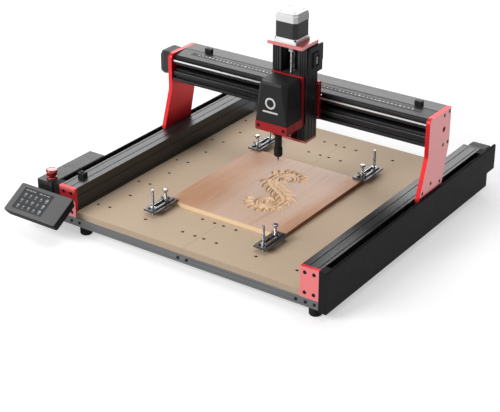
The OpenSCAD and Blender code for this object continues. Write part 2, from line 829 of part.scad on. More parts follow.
module gantry_screws() placed(graphite) {
    at_gantry_screws(false) cap_screw(5, 6.3, 3.1);
    mirror([1, 0, 0]) at_gantry_screws(true) cap_screw(5, 6.3, 3.1);
}

module x_screw() placed(silver) {
    rod_x(-plate_out - 10, x_axis_y, x_axis_z, screw_r, 2 * plate_out + 9);
    difference() {
        rod_x(-plate_x + 2, x_axis_y, x_axis_z, coupler_r, 26);
        rod_x(-plate_x + 1, x_axis_y, x_axis_z, screw_r, 28);
    }
}

// ---- Carriage and column ----

module x_plate() placed(red) difference() {
    block(head_x - x_plate_w / 2, x_plate_front, x_plate_z, x_plate_w, x_plate_t, x_plate_h);
    for (z = x_guide_z, x = [-30, 30]) rod_y(head_x + x, x_plate_front - 1, z, 1.6, x_plate_t + 2);
}

module x_guide_blocks() placed(silver) for (z = x_guide_z, x = [-28, 28])
    translate([head_x + x, flange_front, z]) rotate(-90)
        guide_block(small_block_w, small_block_t, small_lift, 38, small_wide, small_tall);

module x_nut() placed(graphite) difference() {
    union() {
        block(head_x - 20, x_plate_back, slot_z - arm_t / 2, 40, x_axis_y - x_plate_back, arm_t);
        block(head_x - 20, x_axis_y - 11.5, x_axis_z - 11.5, 40, 23, 23);
    }
    rod_x(head_x - 21, x_axis_y, x_axis_z, screw_r + running, 42);
}

module column_profile() {
    difference() {
        translate([head_x - column_w / 2, column_front]) square([column_w, column_d]);
        translate([head_x - channel_w / 2, column_front - 1]) square([channel_w, column_d - column_wall + 1]);
        for (s = [-1, 1], u = [4.5, 10, 15.5])
            translate([head_x + s * (column_w / 2 - u) - 1.3, column_front - 1]) square([2.6, 3]);
        for (s = [-1, 1], v = [10, 22, 34]) translate([head_x + s * column_w / 2 - 1.5, column_front + v])
            square([3, 2]);
    }
}

module column() placed(black) translate([0, 0, column_low]) linear_extrude(column_h) column_profile();

module column_plates() placed(red) {
    difference() {
        block(head_x - column_w / 2, column_front, column_z, column_w, column_d, bottom_plate_t);
        rod_z(head_x, z_axis_y, column_z + 2, z_screw_r + running, bottom_plate_t);
    }
    difference() {
        block(head_x - column_w / 2 - 0.5, x_plate_front - top_plate_d, column_top, column_w + 1, top_plate_d,
            top_plate_t);
        rod_z(head_x, z_axis_y, column_top - 1, z_screw_r + running, top_plate_t + 2);
    }
}

module z_guides() placed(silver) for (s = [-1, 1])
    block(head_x + s * z_guide_x - small_wide / 2, column_back_in - small_tall, column_low + 4, small_wide,
        small_tall, column_h - 8);

module z_motor() placed(graphite) translate([head_x, z_axis_y, motor_z0]) difference() {
    union() {
        motor_stack(motor_w, 2, 5);
        translate([0, 0, 5]) motor_stack(motor_w, motor_cut, motor_z_bell - 5);
        translate([0, 0, motor_z_bell]) motor_stack(motor_w - 0.8, motor_cut, motor_z_stack);
    }
    translate([0, 0, -1]) cylinder(r = z_screw_r + running, h = 13);
    for (x = [-motor_bolt, motor_bolt], y = [-motor_bolt, motor_bolt])
        translate([x, y, 5]) cylinder(r = 4.5, h = motor_z_bell - 6);
}

module z_motor_cap() placed(white) translate([head_x, z_axis_y, motor_z2]) {
    motor_stack(motor_w, motor_cut, motor_z_cap - 3);
    translate([0, 0, motor_z_cap - 3]) motor_stack(motor_w - 4, motor_cut, 3);
}

bracket_x = head_x + column_w / 2;
module cable_bracket() placed(black) difference() {
    union() {
        block(bracket_x, column_front + 3, column_top - 62, 5, column_d + 8, 60);
        block(bracket_x, x_plate_front + 1, column_top - 40, 5, 12, 38);
        block(bracket_x + 5, column_front + 16, column_top - 50, 3, 24, 34);
    }
    block(bracket_x + 6, column_front + 20, column_top - 46, 4, 16, 26);
}

module column_screws() placed(silver) {
    for (x = [-motor_bolt, motor_bolt], y = [-motor_bolt, motor_bolt])
        translate([head_x + x, z_axis_y + y, motor_z0 + 5]) cylinder(d = 6.5, h = 3.5);
}

module z_screw() placed(silver) {
    rod_z(head_x, z_axis_y, column_z + 3, z_screw_r, motor_z0 + 8 - column_z);
    difference() {
        rod_z(head_x, z_axis_y, column_top - z_coupler_l - 1, 7.5, z_coupler_l);
        rod_z(head_x, z_axis_y, column_top - z_coupler_l - 2, z_screw_r, z_coupler_l + 2);
    }
}

// ---- Sliding head and spindle ----

module z_plate() placed(red)
    block(head_x - z_plate_w / 2, z_plate_front, z_plate_z, z_plate_w, z_plate_t, z_plate_h);

module z_saddle() placed(graphite) {
    difference() {
        block(head_x - z_saddle_w / 2, z_plate_back, z_saddle_z, z_saddle_w, z_block_front - z_plate_back, z_saddle_h);
        rod_z(head_x, z_axis_y, z_saddle_z - 1, z_screw_r + running, z_saddle_h + 2);
    }
    for (s = [-1, 1], z = [17, z_saddle_h - 17])
        translate([head_x + s * z_guide_x, column_back_in, z_saddle_z + z]) rotate([90, 0, -90])
            guide_block(small_block_w, small_block_t, small_lift, 30, small_wide, small_tall);
}

module spindle_clamp() placed(red) difference() {
    block(head_x - z_plate_w / 2, clamp_front, clamp_z, z_plate_w, clamp_d, clamp_h);
    rod_z(head_x, spindle_y, clamp_z - 1, spindle_d / 2 + 0.05, clamp_h + 2);
    for (s = [-1, 1]) {
        block(head_x + s * (z_plate_w + spindle_d) / 4 - clamp_slit / 2, spindle_y - 0.75, clamp_z - 1, clamp_slit, 1.5,
              clamp_h + 2);
        translate([head_x + s * 32, clamp_front, clamp_z + clamp_h / 2]) rotate([90, 0, 0]) screw_hole(5, 12, 3.1);
    }
}

module shroud_slice(half_top, cut, inset, lean = 0) {
    y0 = clamp_front + 0.5 + inset + lean;
    y1 = z_plate_front - 0.1;
    h = half_top - inset;
    polygon([
        [-h, y1], [-h, y0 + cut], [-h + cut, y0], [h - cut, y0], [h, y0 + cut], [h, y1]
    ]);
}

module spindle_shroud() placed(black) translate([head_x, 0, clamp_z + clamp_h]) difference() {
    half = z_plate_w / 2 - 0.5;
    hull() {
        linear_extrude(0.5) shroud_slice(half, 0.8, 0);
        translate([0, 0, shroud_h - 6]) linear_extrude(1) shroud_slice(half - shroud_taper, shroud_cut, 0);
        translate([0, 0, shroud_h - 0.5]) linear_extrude(0.5) shroud_slice(half - shroud_taper - 2, shroud_cut, 0, 3);
    }
    hull() {
        translate([0, 0, -1]) linear_extrude(0.5) shroud_slice(half, 0.8, shroud_wall);
        translate([0, 0, shroud_h - shroud_wall - 6]) linear_extrude(1)
            shroud_slice(half - shroud_taper, shroud_cut, shroud_wall);
    }
}

module spindle_motor() placed(graphite) difference() {
    union() {
        rod_z(head_x, spindle_y, spindle_z, spindle_d / 2, spindle_l - 6);
        rod_z(head_x, spindle_y, spindle_z + spindle_l - 6, spindle_d / 2 - 4, 6);
    }
    rod_z(head_x, spindle_y, spindle_z - 1, nose_d / 2 + running, 32);
}

module spindle_nose() placed(silver) difference() {
    union() {
        rod_z(head_x, spindle_y, nose_low, nose_d / 2, spindle_z - nose_low + 28);
        rod_z(head_x, spindle_y, spindle_z - 12, nose_d / 2 + 3, 10);
    }
    rod_z(head_x, spindle_y, nose_low - 1, cutter_d / 2 + running, 15);
}

module collet_nut() placed(silver) difference() {
    union() {
        rod_z(head_x, spindle_y, nut_low + 3, nut_d / 2, nut_l - 3);
        translate([head_x, spindle_y, nut_low]) cylinder(d1 = nut_d - 5, d2 = nut_d, h = 3);
    }
    rod_z(head_x, spindle_y, nut_low - 1, cutter_d / 2 + running, nut_l + 2);
    for (a = [0:60:300]) translate([head_x, spindle_y, nut_low + 7]) rotate(a)
        translate([nut_d / 2 - 1, -1.5, 0]) cube([3, 3, nut_l - 10]);
}

module cutter() placed(silver) {
    rod_z(head_x, spindle_y, nut_low - cutter_out + 6, cutter_d / 2, cutter_out + nut_l + 4);
    translate([head_x, spindle_y, nut_low - cutter_out]) cylinder(d1 = 0.6, d2 = cutter_d, h = 6);
}

// ---- The pieces, one by one ----
front_beam();
cross_beams();
spoilboard_left();
spoilboard_right();
feet();
rail_left();
rail_right();
end_plates();
cover_left();
cover_right();
y_guides();
y_motors();
base_screws();
y_limit_switch();
y_screw_left();
y_screw_right();
control_box();
stop_socket();
stop_button();
power_inlet();
power_rocker();
panel_bracket();
panel_case();
panel_glass();
workpiece();
clamp_plates();
clamp_rods();
wing_nut_front_left();
wing_nut_front_right();
wing_nut_rear_left();
wing_nut_rear_right();
gantry_plate_left();
gantry_plate_right();
gantry_beam();
gantry_saddles();
y_guide_blocks();
x_guides();
x_motor();
x_limit_blocks();
gantry_screws();
x_screw();
x_plate();
x_guide_blocks();
x_nut();
column();
column_plates();
z_guides();
z_motor();
z_motor_cap();
cable_bracket();
column_screws();
z_screw();
z_plate();
z_saddle();
spindle_clamp();
spindle_shroud();
spindle_motor();
spindle_nose();
collet_nut();
cutter();
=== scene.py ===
"""Looks of a desktop gantry router: finishes for its machined parts, and finer motors, screws, clamps and work."""

import math

import bmesh
import bpy
from mathutils import Matrix, Vector


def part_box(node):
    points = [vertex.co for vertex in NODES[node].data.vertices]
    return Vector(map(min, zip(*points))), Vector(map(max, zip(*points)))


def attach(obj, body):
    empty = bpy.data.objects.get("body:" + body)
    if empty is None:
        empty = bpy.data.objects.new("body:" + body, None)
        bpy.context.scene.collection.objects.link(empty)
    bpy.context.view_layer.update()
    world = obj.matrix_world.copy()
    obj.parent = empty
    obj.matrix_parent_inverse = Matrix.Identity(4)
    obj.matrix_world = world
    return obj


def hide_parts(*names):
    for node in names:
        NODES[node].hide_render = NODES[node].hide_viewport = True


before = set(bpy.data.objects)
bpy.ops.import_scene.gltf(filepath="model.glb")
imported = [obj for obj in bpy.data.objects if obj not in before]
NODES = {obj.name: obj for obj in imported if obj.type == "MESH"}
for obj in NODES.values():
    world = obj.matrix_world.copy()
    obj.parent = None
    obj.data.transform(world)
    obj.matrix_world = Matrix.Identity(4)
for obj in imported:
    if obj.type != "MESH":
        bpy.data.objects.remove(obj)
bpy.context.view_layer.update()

bl_info = {
    "name": "Gantry Router",
    "version": (1, 0, 0),
    "blender": (4, 5, 0),
    "location": "View3D > Sidebar > Router",
    "description": "Builds the finishes and fine pieces of a desktop gantry router",
    "category": "Object",
}

MM = 0.001

# The drawing frame: x = 0 on the seam of the bed, y = 0 on its front face, in millimetres
SEAM_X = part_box("spoilboard_right")[0][0] - 0.2 * MM
FRONT_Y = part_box("front_beam")[0][1]
CORNER = Vector((SEAM_X, FRONT_Y, 0))


def node_box(node):
    """Lowest and highest corner of a node, in millimetres of the drawing frame."""
    lo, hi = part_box(node)
    return (Vector(lo) - CORNER) / MM, (Vector(hi) - CORNER) / MM


def middle(node):
    """Middle of a node, in millimetres of the drawing frame."""
    lo, hi = node_box(node)
    return (lo + hi) / 2


# ---------------------------------------------------------------- materials


class Graph:
    """Short calls for building a material's nodes."""

    def __init__(self, name):
        self.mat = bpy.data.materials.new(name)
        self.mat.use_nodes = True
        self.tree = self.mat.node_tree
        self.shader = self.tree.nodes["Principled BSDF"]
        self.coords = self.tree.nodes.new("ShaderNodeTexCoord").outputs["Object"]

    def add(self, kind, **values):
        made = self.tree.nodes.new(kind)
        for key, value in values.items():
            if key in made.inputs:
                made.inputs[key].default_value = value
            else:
                setattr(made, key, value)
        return made

    def link(self, source, target):
        self.tree.links.new(source, target)

    def stretched(self, scale):
        """Object coordinates, scaled along each axis."""
        mapping = self.add("ShaderNodeMapping", Scale=scale)
        self.link(self.coords, mapping.inputs["Vector"])
        return mapping.outputs["Vector"]

    def cloud(self, scale, detail=4.0, vector=None, rough=0.55, distortion=0.0):
        """Noise from 0 to 1."""
        made = self.add("ShaderNodeTexNoise", Scale=scale, Detail=detail, Roughness=rough, Distortion=distortion)
        self.link(vector or self.coords, made.inputs["Vector"])
        return made.outputs["Fac"]

    def clouded(self, colour, low, high, scale, detail):
        """A colour that drifts between two shades of itself."""
        return self.mix(self.cloud(scale, detail), shaded(colour, low), shaded(colour, high))

    def axis(self, vector, name):
        """One axis of a vector."""
        made = self.add("ShaderNodeSeparateXYZ")
        self.link(vector, made.inputs["Vector"])
        return made.outputs[name]

    def maths(self, operation, source, value=0.0):
        made = self.add("ShaderNodeMath", operation=operation)
        self.link(source, made.inputs[0])
        made.inputs[1].default_value = value
        return made.outputs[0]

    def ramp(self, source, stops):
        """Colour ramp with (place, colour) stops."""
        made = self.add("ShaderNodeValToRGB")
        ends = made.color_ramp.elements
        for place, colour in stops[2:]:
            ends.new(place)
        for stop, (place, colour) in zip(ends, stops):
            stop.position = place
            stop.color = (*colour, 1.0)
        self.link(source, made.inputs["Fac"])
        return made.outputs["Color"]

    def remap(self, source, low, high, start=0.0, end=1.0):
        """Turns start..end into low..high."""
        made = self.add("ShaderNodeMapRange")
        for key, value in (("From Min", start), ("From Max", end), ("To Min", low), ("To Max", high)):
            made.inputs[key].default_value = value
        self.link(source, made.inputs["Value"])
        return made.outputs["Result"]

    def mix(self, factor, a, b, blend="MIX"):
        """Mixes two colours; each is a socket or a colour."""
        made = self.add("ShaderNodeMix", data_type="RGBA", blend_type=blend)
        for socket, value in ((made.inputs[0], factor), (made.inputs[6], a), (made.inputs[7], b)):
            if isinstance(value, bpy.types.NodeSocket):
                self.link(value, socket)
            elif isinstance(value, tuple):
                socket.default_value = (*value, 1.0)
            else:
                socket.default_value = value
        return made.outputs[2]

    def bump(self, height, strength, distance):
        """Adds a bump to the shader's normal."""
        made = self.add("ShaderNodeBump", Strength=strength, Distance=distance)
        self.link(height, made.inputs["Height"])
        previous = self.shader.inputs["Normal"]
        if previous.links:
            self.link(previous.links[0].from_socket, made.inputs["Normal"])
        self.link(made.outputs["Normal"], previous)

    def base(self, source):
        self.link(source, self.shader.inputs["Base Color"])

    def roughness(self, source):
        self.link(source, self.shader.inputs["Roughness"])

    def fixed(self, **values):
        for key, value in values.items():
            self.shader.inputs[key.replace("_", " ")].default_value = value


def shaded(colour, factor):
    return tuple(c * factor for c in colour)


WHITE = (1.0, 1.0, 1.0, 1.0)

# Height of a fine grain in metres, and the stretch that draws lines along x, y and z
GRAIN = 0.0002
LINES_X, LINES_Y, LINES_Z = (8.0, 900.0, 900.0), (900.0, 8.0, 900.0), (900.0, 900.0, 8.0)


def blasted_metal(name, colour, metallic, rough, specular=0.5, coat=0.0, coat_ior=1.5):
    """Bead-blasted and anodised metal: fine grain, faint clouding, slight handling marks."""
    g = Graph(name)
    g.base(g.clouded(colour, 0.86, 1.14, 9.0, 5.0))
    g.roughness(g.remap(g.cloud(45.0, 8.0, rough=0.7), rough - 0.07, rough + 0.09))
    g.bump(g.cloud(1400.0, 3.0), 0.10, GRAIN)
    g.fixed(Metallic=metallic, Specular_IOR_Level=specular)
    g.fixed(Coat_Weight=coat, Coat_Roughness=0.30, Coat_IOR=coat_ior)
    return g.mat


def extruded_metal(name, colour, rough, axis_scale, specular=0.5):
    """Anodised extrusion: fine die lines along its length over a soft grain."""
    g = Graph(name)
    lines = g.cloud(1.0, 5.0, g.stretched(axis_scale), rough=0.6)
    tone = g.clouded(colour, 0.85, 1.15, 6.0, 4.0)
    g.base(g.mix(0.5, tone, g.mix(lines, shaded(colour, 0.75), shaded(colour, 1.30))))
    g.roughness(g.remap(lines, rough - 0.08, rough + 0.12))
    g.bump(lines, 0.16, GRAIN)
    g.bump(g.cloud(1500.0, 2.0), 0.06, GRAIN)
    g.fixed(Metallic=0.15, Specular_IOR_Level=specular)
    return g.mat


def banded_steel(name, dark, bright, bands, reach):
    """Blackened guide rail with bare ground running faces as bands of height in metres; how far each band goes
    towards bright is painted light and shade.
    """
    g = Graph(name)
    low, high = reach
    fade = 0.004
    stops = [(0.0, dark)]
    for start, end, share in bands:
        a, b = (start - low) / (high - low), (end - low) / (high - low)
        tone = tuple(d + (t - d) * share for d, t in zip(dark, bright))
        stops += [(a - fade, dark), (a + fade, tone), (b - fade, tone), (b + fade, dark)]
    stops.append((1.0, dark))
    lines = g.cloud(1.0, 4.0, g.stretched(LINES_X))
    tone = g.ramp(g.remap(g.axis(g.coords, "Z"), 0.0, 1.0, low, high), stops)
    g.base(g.mix(0.35, tone, g.mix(lines, (0.55, 0.55, 0.55), (1.0, 1.0, 1.0)), "MULTIPLY"))
    g.roughness(g.remap(lines, 0.20, 0.34))
    g.bump(lines, 0.08, GRAIN)
    g.fixed(Metallic=0.8)
    return g.mat


def plate_metal(name, colour, axis, rough=0.34, back=None, split=0.0):
    """Red anodised plate: polished faces across an axis, matt milled edges, and another colour behind a depth."""
    g = Graph(name)
    tone = g.clouded(colour, 0.88, 1.12, 9.0, 5.0)
    if back:
        behind = g.maths("GREATER_THAN", g.axis(g.coords, "Y"), split)
        tone = g.mix(behind, tone, g.clouded(back, 0.88, 1.12, 9.0, 5.0))
    g.base(tone)
    facing = g.maths("ABSOLUTE", g.axis(g.add("ShaderNodeTexCoord").outputs["Normal"], axis))
    g.link(g.remap(facing, 0.0, 1.0), g.shader.inputs["Coat Weight"])
    g.roughness(g.remap(g.cloud(45.0, 8.0, rough=0.7), rough - 0.07, rough + 0.09))
    g.bump(g.cloud(1400.0, 3.0), 0.08, GRAIN)
    g.fixed(Metallic=0.5, Specular_IOR_Level=0.4, Coat_Roughness=0.30, Coat_IOR=2.5)
    return g.mat


def drawn_metal(name, colour, rough, scale):
    """Ground or drawn metal with fine lines along its length."""
    g = Graph(name)
    lines = g.cloud(1.0, 4.0, g.stretched(scale))
    g.base(g.mix(lines, shaded(colour, 0.85), shaded(colour, 1.08)))
    g.roughness(g.remap(lines, rough - 0.05, rough + 0.10))
    g.bump(lines, 0.08, GRAIN)
    g.fixed(Metallic=1.0)
    return g.mat


def moulded_plastic(name, colour, rough, grain=900.0, strength=0.2, coat=0.0, specular=0.5):
    """Moulded plastic with a spark-eroded texture."""
    g = Graph(name)
    pits = g.cloud(grain, 2.0)
    g.base(g.clouded(colour, 0.92, 1.08, 14.0, 3.0))
    g.roughness(g.remap(pits, rough - 0.05, rough + 0.08))
    g.bump(pits, strength, GRAIN)
    g.fixed(Coat_Weight=coat, Coat_Roughness=0.08, Specular_IOR_Level=specular)
    return g.mat


def fibreboard(name, colour):
    """Sanded fibreboard: fine fibres, soft clouding and a few darker flecks."""
    g = Graph(name)
    fibres = g.cloud(260.0, 6.0, g.stretched((1.0, 2.2, 1.0)), rough=0.7)
    tone = g.clouded(colour, 0.94, 1.05, 4.0, 4.0)
    fine = g.ramp(fibres, [(0.30, shaded(colour, 0.86)), (0.62, shaded(colour, 1.06))])
    flecks = g.ramp(g.cloud(620.0, 2.0), [(0.26, (0.62, 0.55, 0.48)), (0.36, (1.0, 1.0, 1.0))])
    worn = g.mix(0.6, g.mix(0.5, tone, fine), flecks, "MULTIPLY")
    # Painted light: the front edge is drawn paler than the sanded face, to make up for the light that it doesn't
    # get
    edge = g.maths("LESS_THAN", g.axis(g.coords, "Y"), FRONT_Y + 0.25 * MM)
    g.base(g.mix(edge, worn, shaded(colour, 1.9)))
    g.roughness(g.remap(fibres, 0.62, 0.80))
    g.bump(fibres, 0.12, 0.0003)
    g.fixed(Specular_IOR_Level=0.35)
    return g.mat


def hardwood(name, pale, warm, dark, depth):
    """Planed hardwood: grain along y, pores, warm and pale streaks, and cuts below its top that are darkest at
    their floor and golden higher up.
    """
    g = Graph(name)
    sweep = g.cloud(1.0, 3.0, g.stretched((13.0, 1.6, 9.0)), distortion=0.4)
    streak = g.cloud(1.0, 6.0, g.stretched((95.0, 5.0, 60.0)), distortion=0.6)
    pores = g.cloud(1.0, 3.0, g.stretched((950.0, 36.0, 600.0)))
    # The plank is warm along both long edges and pale in its heart
    lo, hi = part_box("workpiece")
    heart = g.ramp(g.remap(g.axis(g.coords, "X"), 0.0, 1.0, lo[0], hi[0]), [
        (0.0, warm), (0.20, warm), (0.42, shaded(pale, 0.97)), (0.86, pale), (0.95, shaded(warm, 1.05)),
        (1.0, shaded(warm, 0.9))])
    streaks = g.ramp(sweep, [(0.28, warm), (0.46, pale), (0.60, shaded(pale, 0.93)), (0.78, warm)])
    tone = g.mix(0.26, heart, streaks)
    lines = g.ramp(streak, [(0.30, (0.80, 0.69, 0.60)), (0.48, (1.0, 1.0, 1.0)), (0.75, (0.94, 0.89, 0.84))])
    flecks = g.ramp(pores, [(0.30, dark), (0.40, (1.0, 1.0, 1.0))])
    planed = g.mix(0.45, g.mix(0.8, tone, lines, "MULTIPLY"), flecks, "MULTIPLY")
    sink = g.remap(g.axis(g.coords, "Z"), 0.0, 1.0, hi[2] - depth, hi[2])
    cuts = g.ramp(sink, [
        (0.0, (0.16, 0.06, 0.022)), (0.10, (0.36, 0.17, 0.07)), (0.28, (0.76, 0.48, 0.25)),
        (0.70, (0.86, 0.60, 0.36)), (0.93, (0.78, 0.54, 0.34))])
    carved = g.ramp(sink, [(0.90, (1.0, 1.0, 1.0)), (0.975, (0.0, 0.0, 0.0))])
    g.base(g.mix(carved, planed, g.mix(0.5, cuts, lines, "MULTIPLY")))
    g.roughness(g.remap(streak, 0.42, 0.58))
    g.bump(pores, 0.10, 0.0003)
    g.fixed(Specular_IOR_Level=0.40, Coat_Weight=0.10, Coat_Roughness=0.3)
    return g.mat


def steel_stack(name, colour):
    """Black-painted motor stack of thin steel sheets."""
    g = Graph(name)
    fine = g.cloud(700.0, 3.0)
    g.base(g.clouded(colour, 0.85, 1.2, 30.0, 4.0))
    g.roughness(g.remap(fine, 0.40, 0.58))
    g.bump(fine, 0.15, GRAIN)
    return g.mat


def lit_mark(name, colour, strength):
    """A lit mark on the display."""
    g = Graph(name)
    g.base(g.clouded(colour, 0.9, 1.05, 300.0, 2.0))
    g.fixed(Roughness=0.35, Emission_Color=(*colour, 1.0), Emission_Strength=strength)
    return g.mat


FINISHES = {}


# ---------------------------------------------------------------- meshes


# Turns that lay the w axis of a shape along an axis of the frame
UPRIGHT = Matrix.Identity(4)
ALONG_X = Matrix.Rotation(math.radians(90), 4, "Y")
ALONG_Y = Matrix.Rotation(math.radians(-90), 4, "X")
BACK_X = Matrix.Rotation(math.radians(-90), 4, "Y")
FORWARD_Y = Matrix.Rotation(math.radians(90), 4, "X")


class Shape:
    """Collects solids in millimetres of the drawing frame and makes one object of them."""

    def __init__(self):
        self.bm = bmesh.new()

    def band(self, low, high):
        """Faces between two rings of as many points."""
        for i in range(len(low)):
            j = (i + 1) % len(low)
            self.bm.faces.new((low[i], low[j], high[j], high[i]))

    def loft(self, rows, base=(0, 0, 0), turn=None):
        """Joins rings of points into a solid, then turns it and moves it to base."""
        rings = [[self.bm.verts.new(p) for p in row] for row in rows]
        for low, high in zip(rings, rings[1:]):
            self.band(low, high)
        self.bm.faces.new(list(reversed(rings[0])))
        self.bm.faces.new(rings[-1])
        return self.place([v for ring in rings for v in ring], base, turn)

    def place(self, verts, base, turn):
        matrix = Matrix.Translation(base) @ (turn or UPRIGHT)
        bmesh.ops.transform(self.bm, matrix=matrix, verts=verts)
        return self

    def prism(self, outline, base, height, turn=None):
        """Extrudes an outline of (u, v) by height along w."""
        return self.loft([[(u, v, w) for u, v in outline] for w in (0.0, height)], base, turn)

    def slab(self, lo, hi):
        """A block between two corners."""
        outline = [(lo[0], lo[1]), (hi[0], lo[1]), (hi[0], hi[1]), (lo[0], hi[1])]
        return self.prism(outline, (0, 0, lo[2]), hi[2] - lo[2])

    def turned(self, profile, base, turn=None, steps=40, close=False):
        """Revolves a profile of (radius, height) about w."""
        rings = []
        for radius, height in profile:
            around = circle(radius, steps if radius > 0 else 1)
            rings.append([self.bm.verts.new((u, v, height)) for u, v in around])
        for low, high in zip(rings, rings[1:] + rings[:1] if close else rings[1:]):
            for i in range(steps):
                j = (i + 1) % steps
                corners = []
                for v in (low[i % len(low)], low[j % len(low)], high[j % len(high)], high[i % len(high)]):
                    if v not in corners:
                        corners.append(v)
                if len(corners) > 2:
                    self.bm.faces.new(corners)
        return self.place([v for ring in rings for v in ring], base, turn)

    def screw_thread(self, base, length, radius, lead, depth, turn=None, steps=20, rise=6):
        """A threaded rod along w: a helicoid whose radius rises and falls with the thread."""
        levels = max(2, int(length / lead * rise))
        rows = []
        for k in range(levels + 1):
            w = length * k / levels
            row = []
            for i in range(steps):
                a = 2 * math.pi * i / steps
                phase = (w / lead - a / (2 * math.pi)) % 1.0
                tooth = max(0.0, min(1.0, 2.2 * (1 - abs(2 * phase - 1)) - 0.6))
                r = radius - depth * (1 - tooth)
                row.append((r * math.cos(a), r * math.sin(a), w))
            rows.append(row)
        return self.loft(rows, base, turn)

    def done(self, name, material, body, bevel=0.0, segments=2, angle=35.0, slot=None, replaces=()):
        """Makes the object, in metres, riding on a body and standing for the nodes that it replaces."""
        bmesh.ops.transform(self.bm, matrix=Matrix.Scale(MM, 4), verts=self.bm.verts)
        bmesh.ops.translate(self.bm, vec=CORNER, verts=self.bm.verts)
        bmesh.ops.recalc_face_normals(self.bm, faces=self.bm.faces)
        mesh = bpy.data.meshes.new(name)
        self.bm.to_mesh(mesh)
        self.bm.free()
        made = bpy.data.objects.new(name, mesh)
        bpy.context.scene.collection.objects.link(made)
        mesh.materials.append(FINISHES[material])
        mesh.shade_smooth()
        mesh.set_sharp_from_angle(angle=math.radians(angle))
        if bevel:
            soften(made, bevel, segments, angle)
        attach(made, body)
        if replaces:
            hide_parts(*replaces)
        return made


def soften(obj, width, segments=2, angle=35.0):
    """Rounds an object's sharp edges by width in millimetres."""
    bevel = obj.modifiers.new("edge", "BEVEL")
    bevel.width = width * MM
    bevel.segments = segments
    bevel.limit_method = "ANGLE"
    bevel.angle_limit = math.radians(angle)
    bevel.harden_normals = True
    bevel.use_clamp_overlap = True


def dress(material, bevel, *nodes, segments=2):
    """Gives CAD nodes their finish and, if asked, soft edges."""
    for node in nodes:
        obj = NODES[node]
        for slot in obj.material_slots:
            slot.material = FINISHES[material]
        if bevel:
            weld = obj.modifiers.new("weld", "WELD")
            weld.merge_threshold = 1e-6
            soften(obj, bevel, segments)


def circle(radius, steps):
    turns = [2 * math.pi * i / steps for i in range(steps)]
    return [(radius * math.cos(a), radius * math.sin(a)) for a in turns]


def rectangle(width, height):
    """A rectangle centred on the origin."""
    w, h = width / 2, height / 2
    return [(-w, -h), (w, -h), (w, h), (-w, h)]


def rounded_outline(width, height, radius, steps=6):
    """A rectangle centred on the origin with rounded corners."""
    points = []
    for cx, cy, start in ((1, 1, 0), (-1, 1, 90), (-1, -1, 180), (1, -1, 270)):
        for i in range(steps + 1):
            a = math.radians(start + 90 * i / steps)
            points.append((
                cx * (width / 2 - radius) + radius * math.cos(a),
                cy * (height / 2 - radius) + radius * math.sin(a),
            ))
    return points


def cut_square(side, cut):
    """A square centred on the origin with its corners cut."""
    h, k = side / 2, side / 2 - cut
    return [(h, -k), (h, k), (k, h), (-k, h), (-h, k), (-h, -k), (-k, -h), (k, -h)]


def cap_head(shape, base, size, turn, height):
    """A cap screw's head on a surface: a rim, a chamfer and a socket."""
    r, h, socket = size * 0.8, height, size * 0.44
    shape.turned(
        [(r * 0.97, 0.0), (r, h * 0.12), (r, h * 0.85), (r * 0.92, h), (socket * 1.12, h), (socket, h * 0.94),
         (socket, h * 0.3), (0.0, h * 0.25)],
        base, turn, steps=24,
    )


# ---------------------------------------------------------------- settings


class RouterColours(bpy.types.PropertyGroup):
    """Colours of the router's finishes."""

    black_metal: bpy.props.FloatVectorProperty(
        name="Black metal", description="Black anodised rails, beam and column", subtype="COLOR", size=3,
        default=(0.018, 0.018, 0.020), min=0.0, max=1.0)
    red_metal: bpy.props.FloatVectorProperty(
        name="Red metal", description="Red anodised plates", subtype="COLOR", size=3,
        default=(0.60, 0.012, 0.018), min=0.0, max=1.0)
    board: bpy.props.FloatVectorProperty(
        name="Board", description="Fibreboard of the bed", subtype="COLOR", size=3,
        default=(0.56, 0.43, 0.305), min=0.0, max=1.0)
    wood_pale: bpy.props.FloatVectorProperty(
        name="Pale wood", description="Pale streaks of the workpiece", subtype="COLOR", size=3,
        default=(0.70, 0.49, 0.37), min=0.0, max=1.0)
    wood_warm: bpy.props.FloatVectorProperty(
        name="Warm wood", description="Warm streaks of the workpiece", subtype="COLOR", size=3,
        default=(0.52, 0.245, 0.115), min=0.0, max=1.0)
    plastic: bpy.props.FloatVectorProperty(
        name="Black plastic", description="Shroud and small mouldings", subtype="COLOR", size=3,
        default=(0.020, 0.020, 0.021), min=0.0, max=1.0)


class RouterSizes(bpy.types.PropertyGroup):
    """Sizes of the router's fine pieces, in millimetres."""

    carving_depth: bpy.props.FloatProperty(
        name="Carving depth", description="Depth of the relief cut into the workpiece, in mm", default=4.0,
        min=0.5, max=6.0)
    thread_depth: bpy.props.FloatProperty(
        name="Thread depth", description="Depth of the lead screws' thread, in mm", default=0.9, min=0.2, max=1.5)
    edge: bpy.props.FloatProperty(
        name="Edge", description="Rounding of machined edges, in mm", default=0.5, min=0.1, max=1.0)
    tick_pitch: bpy.props.FloatProperty(
        name="Tick pitch", description="Distance between the marks of the scale, in mm", default=10.0, min=5.0,
        max=20.0)


class RouterPiece:
    """What every operator of this add-on shares."""

    bl_options = {"REGISTER", "UNDO"}

    @property
    def colours(self):
        return bpy.context.scene.router_colours

    @property
    def sizes(self):
        return bpy.context.scene.router_sizes


